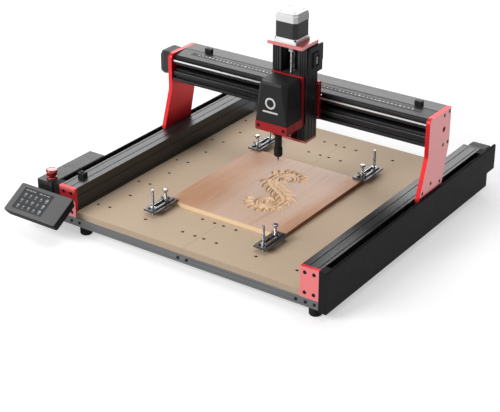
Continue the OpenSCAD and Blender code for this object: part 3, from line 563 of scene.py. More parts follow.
class ROUTER_OT_finishes(RouterPiece, bpy.types.Operator):
    """Make every finish of the router"""

    bl_idname = "router.finishes"
    bl_label = "Finishes"

    def execute(self, context):
        c = self.colours
        black = tuple(c.black_metal)
        guide_low, guide_high = (corner[2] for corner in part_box("x_guides"))
        FINISHES.update({
            "black_metal": blasted_metal("black powder coat", shaded(black, 0.8), 0.0, 0.55, 0.10),
            "black_rail": extruded_metal("black rail", black, 0.30, (420.0, 3.0, 420.0)),
            "black_beam": extruded_metal("black beam", shaded(black, 0.8), 0.32, (3.0, 420.0, 420.0), 0.42),
            "black_column": extruded_metal("black column", shaded(black, 0.8), 0.32, (420.0, 420.0, 3.0), 0.5),
            # Lit and shaded copies of one red: it is scaled to 0.62 as painted shade and to 1.2, 1.3 and 1.4 as
            # painted light, by how light falls on each plate; the column plates keep it as it is
            "red_metal": blasted_metal("red anodised", shaded(c.red_metal, 0.62), 0.45, 0.36, 0.4, 0.12),
            "end_metal_painted_light": plate_metal("end plates", shaded(c.red_metal, 1.3), "Y", back=(0.016, 0.016, 0.018)),
            "side_metal_painted_light": plate_metal("gantry plates", shaded(c.red_metal, 1.2), "X"),
            "top_metal": blasted_metal("column plates", tuple(c.red_metal), 0.5, 0.34, 0.4, 1.0, 2.5),
            "inner_metal_painted_light": blasted_metal("left gantry plate", shaded(c.red_metal, 1.4), 0.35, 0.34, 0.4, 0.2),
            "grey_metal": blasted_metal("grey anodised", (0.16, 0.164, 0.168), 0.75, 0.40),
            "dark_grey_metal": blasted_metal("dark grey coat", (0.095, 0.095, 0.098), 0.0, 0.55, 0.12),
            "box_metal": blasted_metal("control box coat", (0.022, 0.022, 0.023), 0.12, 0.36, 0.42),
            "clamp_metal": blasted_metal("clamp steel", (0.11, 0.11, 0.115), 0.7, 0.32),
            "bare_metal": blasted_metal("bare aluminium", (0.70, 0.705, 0.71), 0.92, 0.28),
            "guide_x": banded_steel(
                "blackened guide", (0.030, 0.030, 0.032), (0.86, 0.86, 0.87),
                # Painted highlight and shade: the upper guide's band goes fully bright as a highlight line, the
                # lower guide's band only 0.18 of the way as painted shade
                ((guide_low + 0.0076, guide_low + 0.0086, 0.18), (guide_high - 0.0042, guide_high - 0.0006, 1.0)),
                (guide_low - 0.001, guide_high + 0.001)),
            "ground_x": drawn_metal("ground steel x", (0.62, 0.63, 0.65), 0.20, LINES_X),
            "ground_y": drawn_metal("ground steel y", (0.62, 0.63, 0.65), 0.20, LINES_Y),
            # The z copy is darker than the x and y copies: painted shade
            "ground_z": drawn_metal("ground steel z", (0.36, 0.365, 0.375), 0.24, LINES_Z),
            "bright": drawn_metal("nickel plate", (0.46, 0.46, 0.47), 0.16, (160.0, 160.0, 160.0)),
            "dark_screw": blasted_metal("black oxide", (0.020, 0.020, 0.022), 0.5, 0.40, 0.3),
            "stack": steel_stack("motor stack", (0.026, 0.026, 0.028)),
            "white_cap": moulded_plastic("white cap", (0.88, 0.88, 0.89), 0.40, 700.0, 0.08, specular=0.2),
            "board": fibreboard("fibreboard", tuple(c.board)),
            "wood": hardwood("hardwood", tuple(c.wood_pale), tuple(c.wood_warm), (0.55, 0.36, 0.24),
                             self.sizes.carving_depth * MM),
            # A pale copy of the wood for the front face, painted light, and a dark copy for the side faces,
            # painted shade
            "wood_painted_lit_front": moulded_plastic("wood front painted light", (0.88, 0.66, 0.42), 0.50, 260.0, 0.25, specular=0.3),
            "wood_painted_shaded_sides": moulded_plastic("wood sides painted shade", (0.30, 0.11, 0.05), 0.55, 260.0, 0.3, specular=0.25),
            "plastic": moulded_plastic("black moulding", tuple(c.plastic), 0.46, specular=0.18),
            "panel": moulded_plastic("grey moulding", (0.135, 0.135, 0.138), 0.55, 1100.0, 0.14, specular=0.12),
            # A near-black copy of the panel's grey: painted shade for the case's sides
            "panel_painted_shade": moulded_plastic("panel moulding painted shade", (0.014, 0.014, 0.015), 0.6, specular=0.1),
            "rubber": moulded_plastic("foot rubber", (0.012, 0.012, 0.012), 0.72, 500.0, 0.35, specular=0.2),
            "button": moulded_plastic("red button", (0.34, 0.010, 0.012), 0.24, 300.0, 0.01, coat=1.0),
            "glass": moulded_plastic("dark glass", (0.060, 0.061, 0.064), 0.30, 300.0, 0.02, specular=0.3),
            "mark": lit_mark("display mark", (0.45, 0.46, 0.48), 0.05),
            "white_mark": moulded_plastic("white print", (0.72, 0.72, 0.72), 0.45, 600.0, 0.05),
            "copper": drawn_metal("contact pin", (0.72, 0.60, 0.36), 0.25, (200.0, 200.0, 200.0)),
        })
        return {"FINISHED"}


# Where the camera stands, the way it looks, and its focal length in millimetres
CAMERA_PLACE, CAMERA_AIM, CAMERA_LENS = (1.5523, -2.2560, 1.3930), (-0.5096, 0.7320, -0.4521), 98.1

# Name, place, aim, width, depth and watts of each light
LIGHTS = (
    ("key", (-1.5, -3.3, 2.3), (0, 0, 0.1), 2.2, 1.8, 140),
    ("back", (-2.1, 3.0, 1.95), (0, 0, 0.15), 3.2, 1.7, 62),
    ("top", (0.1, 0.5, 3.6), (0, 0, 0), 2.8, 2.8, 44),
)

# Strength of the white surroundings as light on the machine; the camera sees them at full strength
AMBIENT = 0.20


class ROUTER_OT_stage(RouterPiece, bpy.types.Operator):
    """Set the floor, the lights and the camera"""

    bl_idname = "router.stage"
    bl_label = "Stage"

    def execute(self, context):
        scene = bpy.context.scene
        g = Graph("studio floor")
        tone = g.cloud(1.2, 2.0)
        g.base(g.mix(tone, (0.63, 0.63, 0.63), (0.65, 0.65, 0.65)))
        g.fixed(Roughness=0.8, Specular_IOR_Level=0.1, Emission_Color=WHITE, Emission_Strength=0.48)
        mesh = bpy.data.meshes.new("floor")
        mesh.from_pydata([(x, y, 0) for x, y in rectangle(60.0, 60.0)], [], [(0, 1, 2, 3)])
        mesh.materials.append(g.mat)
        floor = bpy.data.objects.new("floor", mesh)
        floor.visible_diffuse = False
        scene.collection.objects.link(floor)

        world = bpy.data.worlds.new("studio")
        world.use_nodes = True
        tree = world.node_tree
        sky = tree.nodes["Background"]
        sky.inputs["Color"].default_value = WHITE
        path = tree.nodes.new("ShaderNodeLightPath")
        level = tree.nodes.new("ShaderNodeMapRange")
        level.inputs["To Min"].default_value = AMBIENT
        level.inputs["To Max"].default_value = 1.0
        tree.links.new(path.outputs["Is Camera Ray"], level.inputs["Value"])
        tree.links.new(level.outputs["Result"], sky.inputs["Strength"])
        scene.world = world
        scene.view_settings.view_transform = "Standard"

        for name, place, aim, width, depth, watts in LIGHTS:
            lamp = bpy.data.lights.new(name, "AREA")
            lamp.shape = "RECTANGLE"
            lamp.size, lamp.size_y, lamp.energy = width, depth, watts
            holder = bpy.data.objects.new(name, lamp)
            holder.location = place
            holder.rotation_euler = (Vector(aim) - Vector(place)).to_track_quat("-Z", "Y").to_euler()
            scene.collection.objects.link(holder)

        lens = bpy.data.cameras.new("camera")
        lens.lens, lens.sensor_width, lens.clip_end = CAMERA_LENS, 36.0, 100.0
        camera = bpy.data.objects.new("camera", lens)
        forward = Vector(CAMERA_AIM).normalized()
        right = forward.cross(Vector((0, 0, 1))).normalized()
        up = right.cross(forward)
        turn = Matrix((right, up, -forward)).transposed().to_4x4()
        camera.matrix_world = Matrix.Translation(CAMERA_PLACE) @ turn
        scene.collection.objects.link(camera)
        scene.camera = camera
        return {"FINISHED"}


class ROUTER_OT_base(RouterPiece, bpy.types.Operator):
    """Finish the base: beams, boards, rails, covers and feet"""

    bl_idname = "router.base"
    bl_label = "Base"

    def execute(self, context):
        dress("grey_metal", self.sizes.edge, "front_beam", "cross_beams")
        dress("board", 0.4, "spoilboard_left", "spoilboard_right")
        dress("black_rail", 0.35, "rail_left", "rail_right")
        dress("end_metal_painted_light", 0.7, "end_plates")
        dress("black_metal", 0.6, "cover_left", "cover_right")
        dress("ground_y", 0.6, "y_guides")
        dress("dark_screw", 0.25, "base_screws")
        dress("plastic", 0.6, "y_limit_switch")
        self.feet()
        self.hole_inserts()
        coupler = (-36.0, 17.0, 10.0)
        for side in ("left", "right"):
            node = "y_screw_" + side
            lead_screw(node, "lead_screw_" + side, "ground_y", ALONG_Y, 5.0, self.sizes.thread_depth, coupler)
        self.gantry_motors()
        return {"FINISHED"}

    def hole_inserts(self):
        """Threaded inserts a little below the mouths of the clamping holes, black and closed at the floor as
        painted shade for the depth of the holes.
        """
        inserts = Shape()
        from_edge, across_hole, widest = 2.0, 10.5, 4.2
        for node in ("spoilboard_left", "spoilboard_right"):
            lo, hi = node_box(node)
            rims = []
            for vertex in NODES[node].data.vertices:
                p = (vertex.co - CORNER) / MM
                if abs(p.z - hi.z) > 0.01 or min(p.x - lo.x, hi.x - p.x, p.y - lo.y, hi.y - p.y) < from_edge:
                    continue
                for rim in rims:
                    if (p - rim[0]).length < across_hole:
                        rim.append(p)
                        break
                else:
                    rims.append([p])
            for rim in rims:
                x, y = (sum(p[k] for p in rim) / len(rim) for k in (0, 1))
                r = sum(math.hypot(p.x - x, p.y - y) for p in rim) / len(rim)
                if r < widest:
                    inserts.turned([(0, -3.2), (r * 0.66, -3.2), (r * 0.70, -1.1), (r - 0.5, -0.9),
                                    (r - 0.08, -1.2), (r - 0.08, -4.0), (0, -4.0)], (x, y, hi.z), steps=24)
        inserts.done("threaded_inserts", "dark_screw", "base", angle=50, slot="dark_screw")

    def feet(self):
        lo, hi = node_box("feet")
        radius, recess, rings = 14.0, 4.5, 6
        height = hi.z - lo.z
        profile = [(recess, 5.0), (recess, 0.6), (recess + 0.7, 0.0), (radius - 2.6, 0.0), (radius - 1.3, 1.2)]
        for k in range(rings):
            z = 2.4 + (height - 5.0) * k / rings
            rib = radius - 0.4
            profile += [(rib - 0.5, z), (rib, z + 0.7), (rib, z + 1.5), (rib - 0.6, z + 2.0)]
        profile += [(radius - 0.6, height - 1.2), (radius - 1.2, height), (0.0, height)]
        shape = Shape()
        for x in (lo.x + radius, hi.x - radius):
            for y in (lo.y + radius, hi.y - radius):
                shape.turned(profile, (x, y, lo.z), steps=48)
                shape.turned([(0.0, 5.0), (recess, 5.0)], (x, y, lo.z), steps=48)
        shape.done("ribbed_feet", "rubber", "base", angle=50, slot="foot_rubber", replaces=["feet"])

    def gantry_motors(self):
        lo, hi = node_box("y_motors")
        z = middle("y_motors").z
        from_side = 28.5
        for side, x, replaces in (("left", lo.x + from_side, ["y_motors"]), ("right", hi.x - from_side, [])):
            stepper("gantry_motor_" + side, (x, lo.y, z), ALONG_Y, hi.y - lo.y, 8.0, 12.0, "base", replaces)


def lead_screw(node, name, material, turn, radius, depth, coupler, short=0.0):
    """Replaces a node by a threaded rod with plain ends and a split coupler at (place, length, radius)."""
    lo, hi = node_box(node)
    way = turn @ Vector((0, 0, 1))
    whole = way.dot(hi - lo)
    start = (lo + hi - way * whole) / 2
    length = whole - short
    plain, pitch = 7.0, 4.0
    shape = Shape()

    def along(distance):
        return start + way * distance

    bare, tip = radius - 0.5, radius - 1.1
    shape.turned([(0, 0), (tip, 0), (bare, 0.6), (bare, plain), (0, plain)], start, turn, 24)
    shape.screw_thread(along(plain), length - 2 * plain, radius, pitch, depth, turn)
    shape.turned([(0, 0), (bare, 0), (bare, plain - 0.6), (tip, plain), (0, plain)],
                 along(length - plain), turn, 24)
    place, span, r = coupler
    profile = [(radius, 0), (r - 0.6, 0), (r, 0.6)]
    slits = 4
    for k in range(slits):
        z = span * (0.3 + 0.4 * k / (slits - 1))
        profile += [(r, z - 0.5), (r - 1.6, z - 0.4), (r - 1.6, z + 0.4), (r, z + 0.5)]
    profile += [(r, span - 0.6), (r - 0.6, span), (radius, span)]
    shape.turned(profile, along(place % length), turn, 36, close=True)
    shape.done(name, material, node, angle=40, slot="ground_steel", replaces=[node])


def stepper(name, base, turn, length, bell, cap, body, replaces, bell_finish="stack", cap_finish="stack"):
    """A square stepper motor: a bell with corner screws, a laminated stack and a cap."""
    side, screws, rim = 57.0, 23.57, 17.0
    slot = "motor_black"

    def at(u, v, w):
        return Vector(base) + (turn @ Vector((u, v, w)))

    front = Shape()
    front.prism(rounded_outline(side, side, 3.2), base, bell * 0.62, turn)
    front.prism(cut_square(side - 0.4, 6.5), at(0, 0, bell * 0.62), bell * 0.38, turn)
    front.done(name + "_bell", bell_finish, body, bevel=0.5, slot=slot)

    stack = Shape()
    sheets = max(6, int((length - bell - cap) / 1.6))
    pitch = (length - bell - cap) / sheets
    for k in range(sheets):
        w = bell + pitch * k
        stack.prism(cut_square(side - 0.8, 8.0), at(0, 0, w), pitch * 0.82, turn)
        stack.prism(cut_square(side - 1.5, 8.3), at(0, 0, w + pitch * 0.80), pitch * 0.22, turn)
    stack.done(name, "stack", body, slot=slot, replaces=replaces)

    back = Shape()
    back.prism(cut_square(side - 0.2, 7.0), at(0, 0, length - cap), cap * 0.7, turn)
    back.prism(cut_square(side - 2.2, 8.0), at(0, 0, length - cap * 0.3), cap * 0.3 - 0.15, turn)
    back.done(name + "_cap", cap_finish, body, bevel=0.6, slot=slot)

    bolts = Shape()
    if bell_finish != "stack":
        for u, v in rectangle(2 * screws, 2 * screws):
            cap_head(bolts, at(u, v, bell * 0.62), 4.0, turn, 3.4)
    for u, v in rectangle(2 * rim, 2 * rim):
        bolts.turned([(2.6, 0), (2.6, 0.3), (1.5, 0.5), (1.2, 0.2), (0, 0.2)], at(u, v, length - 0.5), turn, 18)
    bolts.done(name + "_bolts", "dark_screw", body, angle=50, slot="dark_screw")


class ROUTER_OT_controls(RouterPiece, bpy.types.Operator):
    """Finish the control box, the stop button, the power inlet and the touch panel"""

    bl_idname = "router.controls"
    bl_label = "Controls"

    def execute(self, context):
        dress("box_metal", 0.8, "control_box")
        dress("plastic", 0.5, "power_inlet")
        dress("button", 0.4, "power_rocker")
        dress("dark_grey_metal", 0.4, "panel_bracket")
        self.stop_button()
        self.inlet_pins()
        self.touch_panel()
        return {"FINISHED"}

    def stop_button(self):
        lo, hi = node_box("stop_button")
        top = node_box("control_box")[1].z
        place = (*middle("stop_button").xy, top)
        r, h = (hi.x - lo.x) / 2, hi.z - top
        stem, under = 3.9, 7.7
        Shape().turned(
            [(0, -8), (stem, -8), (stem, under), (r - 1.8, under), (r - 1.2, under + 0.5), (r - 1.1, h - 6.6),
             (r - 0.9, h - 6.0), (r - 0.2, h - 5.6), (r, h - 5.0), (r, h - 1.6), (r - 0.5, h - 0.7),
             (r - 1.6, h - 0.2), (r * 0.5, h - 0.05), (0, h)],
            place, steps=64,
        ).done("stop_cap", "button", "stop_button", angle=60, slot="button_red", replaces=["stop_button"])
        Shape().turned(
            [(8.0, -14), (8.0, 0), (12, 0), (12.2, 0.5), (12.0, 2.8), (11.2, 3.6), (9.6, 4.0), (4.1, 4.0),
             (4.1, -12), (0, -12), (0, -14)],
            place, steps=56,
        ).done("stop_ring", "button", "base", angle=40, slot="button_red", replaces=["stop_socket"])

    def inlet_pins(self):
        rear = node_box("power_inlet")[1].y
        x, _, z = middle("power_inlet")
        pins = Shape()
        for dx, dz in ((-7.0, -1.5), (7.0, -1.5), (0.0, 3.0)):
            pins.slab((x + dx - 1.0, rear - 16.2, z + dz - 2.0), (x + dx + 1.0, rear - 3.0, z + dz + 2.0))
        pins.done("inlet_pins", "copper", "base", bevel=0.4, slot="bright_screw")

    def touch_panel(self):
        width, length, depth = 145.0, 75.0, 22.0
        glass_u, glass_v, glass_w, glass_h = -14.0, 37.0, 84.0, 56.0
        top_edge = Vector((-352.0, -15.0, 93.0))
        turn = Matrix.Rotation(math.radians(30), 4, "X")

        def at(u, v, w):
            """Across from the middle, down from the top edge, out of the face."""
            return top_edge + (turn @ Vector((u, -v, w)))

        shape = Shape()

        def ring(centre_u, centre_v, outline, w):
            return [shape.bm.verts.new(at(centre_u + u, centre_v - v, w)) for u, v in outline]

        rings = [
            ring(0.0, length / 2, rounded_outline(width - du, length - dv, r, 8), w)
            for du, dv, r, w in (
                (7.0, 7.0, 5.0, 0.1 - depth), (4.0, 4.5, 5.0, 1.2 - depth), (1.0, 1.0, 4.0, -9.0),
                (0.0, 0.0, 4.0, -5.0), (0.0, 0.0, 4.0, -1.2), (0.8, 0.8, 3.8, -0.35), (2.2, 2.2, 3.2, 0.0))]
        window = rounded_outline(glass_w, glass_h, 1.6, 8)
        rings.append(ring(glass_u, glass_v, window, 0.0))
        rings.append(ring(glass_u, glass_v, [(u * 0.995, v * 0.995) for u, v in window], -1.3))
        for low, high in zip(rings, rings[1:]):
            shape.band(low, high)
        shape.bm.faces.new(list(reversed(rings[0])))
        shape.bm.faces.new(rings[-1])
        case = shape.done("panel_shell", "panel", "base", angle=32, slot="panel_plastic", replaces=["panel_case"])
        case.data.materials.append(FINISHES["panel_painted_shade"])
        # Painted shade: every face of the case that doesn't face out takes the near-black copy
        facing = turn @ Vector((0, 0, 1))
        for face in case.data.polygons:
            if face.normal.dot(facing) < 0.35:
                face.material_index = 1

        pane = rounded_outline(glass_w - 0.6, glass_h - 0.6, 1.4)
        glass = Shape().prism(pane, at(glass_u, glass_v, -1.25), 0.85, turn)
        glass.done("panel_pane", "glass", "base", bevel=0.15, slot="screen_glass", replaces=["panel_glass"])

        marks = Shape()
        lift, thick = -0.40, 0.10

        def flat(outline, u, v, spin=0.0):
            marks.prism(outline, at(glass_u + u, glass_v + v, lift), thick, turn @ Matrix.Rotation(spin, 4, "Z"))

        def hoop(u, v, r, w, steps=16):
            for k in range(steps):
                a = 2 * math.pi * k / steps
                flat(rectangle(w, 2 * math.pi * r / steps * 0.9), u + (r - w / 2) * math.cos(a),
                     v - (r - w / 2) * math.sin(a), a)

        # A header of plain bars, rows of plain symbols, and round keys at the right
        for u, w in ((-33, 8), (-24, 6), (-14, 10), (6, 9), (16, 5), (26, 8)):
            flat(rectangle(w, 1.6), u, -23.5)
        rows = (-12.5, 2.5, 17.5)
        for i, u in enumerate((-30, -15, 0, 15)):
            for j, v in enumerate(rows):
                kind = (i + 2 * j) % 4
                if kind == 0:
                    hoop(u, v, 3.2, 1.0)
                    flat(circle(1.1, 14), u, v)
                elif kind == 1:
                    flat(rectangle(5.2, 1.4), u, v)
                    flat(rectangle(1.4, 5.2), u, v)
                elif kind == 2:
                    for k in (-1.8, 0.0, 1.8):
                        flat(rectangle(5.4, 0.9), u, v + k)
                else:
                    flat([(-2.6, -2.4), (2.6, -2.4), (0, 2.8)], u, v)
                flat(rectangle(5.6, 0.8), u, v + 5.6)
        for v in rows:
            hoop(31, v, 3.9, 0.9)
            flat(circle(2.0, 14), 31, v)
            flat(rectangle(6.2, 0.9), 31, v + 6.2)
        marks.done("panel_marks", "mark", "base", slot="screen_glass")


class ROUTER_OT_work(RouterPiece, bpy.types.Operator):
    """Carve the workpiece and shape its clamps"""

    bl_idname = "router.work"
    bl_label = "Work and clamps"

    def execute(self, context):
        dress("clamp_metal", 0.6, "clamp_plates")
        self.workpiece()
        self.clamps()
        for node, turn in (("front_left", 20), ("front_right", -15), ("rear_left", 10), ("rear_right", 30)):
            self.wing_nut("wing_nut_" + node, turn)
        return {"FINISHED"}

    def relief(self, x, y):
        """Height of the carving at a point, in millimetres: leaves and scrolls in a sunken ground."""
        depth, groove = self.sizes.carving_depth, 2.4
        best, rise = 99.0, 0.0
        for stroke, reach in SCROLL_REACH:
            if not (reach[0] <= x <= reach[2] and reach[1] <= y <= reach[3]):
                continue
            for (ax, ay, ar), (bx, by, br) in zip(stroke, stroke[1:]):
                dx, dy = bx - ax, by - ay
                t = max(0.0, min(1.0, ((x - ax) * dx + (y - ay) * dy) / (dx * dx + dy * dy)))
                r = ar + (br - ar) * t
                d = math.hypot(x - ax - t * dx, y - ay - t * dy)
                best = min(best, d - r)
                if d < r:
                    swell = math.sqrt(max(0.0, 1 - (d / r) ** 2))
                    vein = 0.22 * math.exp(-(d / 0.9) ** 2) if r > 3.5 else 0.0
                    rise = max(rise, (swell - vein) * min(1.0, 0.45 + r / 9.0))
        if best > groove:
            return 0.0
        if best > 0.0:
            return -depth * (1.0 - (best / groove) ** 0.9)
        return -depth + depth * 0.93 * rise

    def workpiece(self):
        lo, hi = node_box("workpiece")
        chamfer, fine = 0.4, 0.9

        def places(low, high, first, last):
            """Places across the board: its edge, the carved area in fine steps, and its other edge."""
            inner = [first + fine * i for i in range(int((last - first) / fine) + 1)]
            return [low, low + chamfer, *inner, high - chamfer, high]

        across = places(lo.x, hi.x, CARVED[0], CARVED[2])
        along = places(lo.y, hi.y, CARVED[1], CARVED[3])
        shape = Shape()
        grid = []
        for i, x in enumerate(across):
            column = []
            for j, y in enumerate(along):
                inward = min(i, j, len(across) - 1 - i, len(along) - 1 - j)
                z = hi.z - 0.02
                if inward == 0:
                    z -= chamfer
                elif inward > 1:
                    z += self.relief(x, y)
                column.append(shape.bm.verts.new((x, y, z)))
            grid.append(column)
        for left, right in zip(grid, grid[1:]):
            for j in range(len(along) - 1):
                shape.bm.faces.new((left[j], right[j], right[j + 1], left[j + 1]))
        rim = [column[0] for column in grid] + grid[-1][1:] + [column[-1] for column in grid[-2::-1]]
        rim += grid[0][-2:0:-1]
        low = [shape.bm.verts.new((v.co.x, v.co.y, lo.z)) for v in rim]
        shape.band(low, rim)
        shape.bm.faces.new(list(reversed(low)))
        board = shape.done("carved_board", "wood", "base", angle=40, slot="work_wood", replaces=["workpiece"])
        board.data.materials.append(FINISHES["wood_painted_lit_front"])
        board.data.materials.append(FINISHES["wood_painted_shaded_sides"])
        steep = 0.9
        sliver = (hi.z - lo.z) * MM * MM / 2
        # Painted light and shade: the front face takes the pale copy and the side faces the dark copy
        for face in board.data.polygons:
            if face.normal.y < -steep:
                face.material_index = 1
            elif abs(face.normal.x) > steep and len(face.vertices) == 4 and face.area > sliver:
                face.material_index = 2

    def clamps(self):
        board_top = node_box("spoilboard_right")[1].z
        rod = node_box("clamp_rods")[1].z - board_top
        plate_top = node_box("workpiece")[1].z + 4.1
        plates = node_box("clamp_plates")
        trims, bolts, studs, nuts = Shape(), Shape(), Shape(), Shape()
        thread, pitch = 3.0, 1.0
        from_end = 17.0
        for x in (plates[0].x + from_end, plates[1].x - from_end):
            # A row of holes, the way its plates point, and how far they are slid back
            for row, way, slide in ((130.6, 1, 0.0), (480.6, -1, 9.0)):
                y = row + slide
                a, b = sorted((y - way * 47, y + way * 15))
                for side in (x - 5.9, x + 5.9):
                    trims.slab((side - 0.8, a, plate_top + 1.4), (side + 0.8, b, plate_top + 3.3))
                bolts.turned([(0, 0), (3.9, 0), (3.9, 12.0), (thread, 12.0), (thread, 13.0)],
                             (x, row, board_top - 13.0), steps=24)
                bolts.screw_thread((x, row, board_top), rod - 20.0, thread, pitch, 0.35, steps=14, rise=5)
                bolts.turned([(0, -3.0), (3.4, -3.0), (3.6, 0.0), (5.6, 1.0), (6.3, 1.8), (6.5, 2.6), (6.3, 4.4),
                              (5.4, 5.3), (3.6, 5.5), (0, 5.5)], (x, row, board_top + 38.0), steps=32)
                end = y - way * 44
                studs.screw_thread((x, end, board_top + 0.15), rod - 0.2, thread, pitch, 0.30, steps=14, rise=5)
                nuts.prism(circle(5.6, 6), (x, end, plate_top + 0.1), 4.2)
        slot = "bright_screw"
        trims.done("clamp_trims", "bright", "base", bevel=0.5, slot=slot)
        bolts.done("clamp_bolts", "bright", "base", angle=50, slot=slot, replaces=["clamp_rods"])
        studs.done("clamp_studs", "ground_z", "base", angle=50, slot=slot)
        nuts.done("clamp_nuts", "bright", "base", bevel=0.5, slot=slot)

    def wing_nut(self, node, turn):
        centre = (*middle(node).xy, node_box(node)[0].z)
        spin = Matrix.Rotation(math.radians(turn), 4, "Z")
        shape = Shape()
        shape.turned([(3.1, 0), (4.7, 0), (5.0, 0.4), (4.9, 3.0), (4.3, 6.4), (3.9, 7.2), (3.1, 7.2)],
                     centre, spin, 28, close=True)
        steps = 6
        for s in (-1, 1):
            rows = []
            for k in range(steps + 1):
                t = k / steps
                u = s * (3.7 + 7.0 * t)
                half = 1.7 - 0.7 * t
                low = 1.4 + 5.4 * t ** 1.2
                high = 6.0 + 5.6 * t - 1.9 * max(0.0, t - 0.6)
                rows.append([(u, -half, low), (u, half, low), (u, half * 0.8, high), (u, -half * 0.8, high)])
            shape.loft(rows, centre, spin)
        shape.done(node + "_wings", "bright", node, bevel=0.5, segments=3, angle=30, slot="bright_screw",
                   replaces=[node])


# Carved area of the board, and the strokes of its scroll as (x, y, half width)
CARVED = (-58.0, 204.0, 96.0, 436.0)


def spiral(cx, cy, r0, r1, start, sweep, w0, w1, steps=26):
    """Points of a spiral stroke that narrows from w0 to w1."""
    points = []
    for k in range(steps + 1):
        t = k / steps
        a = math.radians(start + sweep * t)
        r = r0 + (r1 - r0) * t
        points.append((cx + r * math.cos(a), cy + r * math.sin(a), w0 + (w1 - w0) * t))
    return points


def leaf(x, y, angle, length, width, bend=0.0):
    """A leaf as a stroke that swells and narrows, bending as it goes."""
    points = []
    for i in range(9):
        t = i / 8
        points.append((x, y, max(0.8, width * math.sin(math.pi * (0.12 + 0.86 * t)))))
        a = math.radians(angle + bend * t)
        x, y = x + length / 8 * math.cos(a), y + length / 8 * math.sin(a)
    return points


def stem(corners, thick, steps=22):
    """A curved stem through four control points, swelling in its middle."""
    points = []
    for i in range(steps + 1):
        t = i / steps
        u = 1 - t
        weights = (u ** 3, 3 * u * u * t, 3 * u * t * t, t ** 3)
        x, y = (sum(k * corner[axis] for k, corner in zip(weights, corners)) for axis in (0, 1))
        points.append((x, y, thick * (0.75 + 0.45 * math.sin(math.pi * t))))
    return points


def fringe(path, side, count, length, width):
    """Leaves along one side of a stem, longest at its middle."""
    made = []
    for i in range(count):
        t = (i + 0.5) / count
        k = 1 + round(t * (len(path) - 3))
        (ax, ay, _), (bx, by, _) = path[k - 1], path[k + 1]
        heading = math.degrees(math.atan2(by - ay, bx - ax)) + side * 62
        size = 0.62 + 0.38 * math.sin(math.pi * t)
        made.append(leaf(path[k][0], path[k][1], heading, length * size, width * size, -side * 42))
    return made


MAIN_STEM = stem(((-22.2, 367.7), (-36.0, 332.0), (72.0, 316.0), (60.2, 272.3)), 5.4)
SCROLL = [MAIN_STEM, *fringe(MAIN_STEM, 1, 7, 34, 4.6), *fringe(MAIN_STEM, -1, 7, 34, 4.6)]
for eye_x, eye_y, opening in ((6, 378, 200), (32, 262, 20)):
    SCROLL.append(spiral(eye_x, eye_y, 30, 4, opening, -480, 4.6, 2.2))
    SCROLL.append([(eye_x - 1.0, eye_y, 3.2), (eye_x + 1.0, eye_y, 3.2)])
    for turned in range(opening - 190, opening - 14, 22):
        place = math.radians(turned)
        SCROLL.append(leaf(eye_x + 34 * math.cos(place), eye_y + 34 * math.sin(place), turned, 15, 4.0, -30))
SCROLL_REACH = [
    (stroke, (min(p[0] - p[2] for p in stroke) - 2.5, min(p[1] - p[2] for p in stroke) - 2.5,
              max(p[0] + p[2] for p in stroke) + 2.5, max(p[1] + p[2] for p in stroke) + 2.5))
    for stroke in SCROLL
]


class ROUTER_OT_gantry(RouterPiece, bpy.types.Operator):
    """Finish the gantry: plates, beam, guides, scale and motor"""

    bl_idname = "router.gantry"
    bl_label = "Gantry"

    def execute(self, context):
        dress("inner_metal_painted_light", 0.8, "gantry_plate_left")
        dress("side_metal_painted_light", 0.8, "gantry_plate_right")
        dress("black_beam", 0.4, "gantry_beam")
        dress("grey_metal", self.sizes.edge, "gantry_saddles")
        dress("ground_y", 0.4, "y_guide_blocks")
        dress("guide_x", 0.5, "x_guides")
        dress("plastic", 0.6, "x_limit_blocks")
        dress("dark_screw", 0.25, "gantry_screws")
        lo, hi = node_box("x_motor")
        stepper("carriage_motor", (hi.x, *middle("x_motor").yz), BACK_X, hi.x - lo.x, 8.0, 12.0, "gantry",
                ["x_motor"])
        end = (node_box("x_screw")[1].x - 4.4, *middle("x_screw").yz)
        cover = Shape().turned([(0, 0), (5.0, 0), (5.0, 2.6), (4.4, 3.2), (2.2, 3.2), (2.0, 2.4), (0, 2.4)], end,
                               ALONG_X, 32)
        cover.done("bearing_cover", "dark_screw", "gantry", angle=40, slot="dark_screw")
        lead_screw("x_screw", "carriage_lead_screw", "ground_x", ALONG_X, 5.0, self.sizes.thread_depth,
                   (22.5, 26.0, 10.0), short=6.0)
        self.scale_marks()
        return {"FINISHED"}

    def scale_marks(self):
        """A strip with marks on the beam's sloping face."""
        hi = node_box("gantry_beam")[1]
        back, front = Vector((0, hi.y - 40.0, hi.z - 0.6)), Vector((0, hi.y - 79.0, hi.z - 4.5))
        turn = Matrix.Rotation(math.atan2(back.z - front.z, back.y - front.y), 4, "X")

        def on_slope(x, share, lift):
            return front.lerp(back, share) + Vector((x, 0, lift))

        strip = Shape().prism(rectangle(600, 11), on_slope(0, 0.58, 0.0), 0.35, turn)
        strip.done("scale_strip", "dark_grey_metal", "gantry", slot="anodised_black")
        marks = Shape()
        pitch = self.sizes.tick_pitch
        count = int(280 / pitch)
        for k in range(-count, count + 1):
            mark = rectangle(5.2, 3.4) if k % 5 == 0 else rectangle(3.8, 2.6)
            marks.prism(mark, on_slope(k * pitch, 0.61, 0.33), 0.08, turn)
            for j in range(-3, 4):
                marks.prism(rectangle(0.4, 1.6), on_slope((k + j / 7) * pitch, 0.53, 0.33), 0.08, turn)
        marks.done("scale_marks", "white_mark", "gantry", slot="anodised_black")


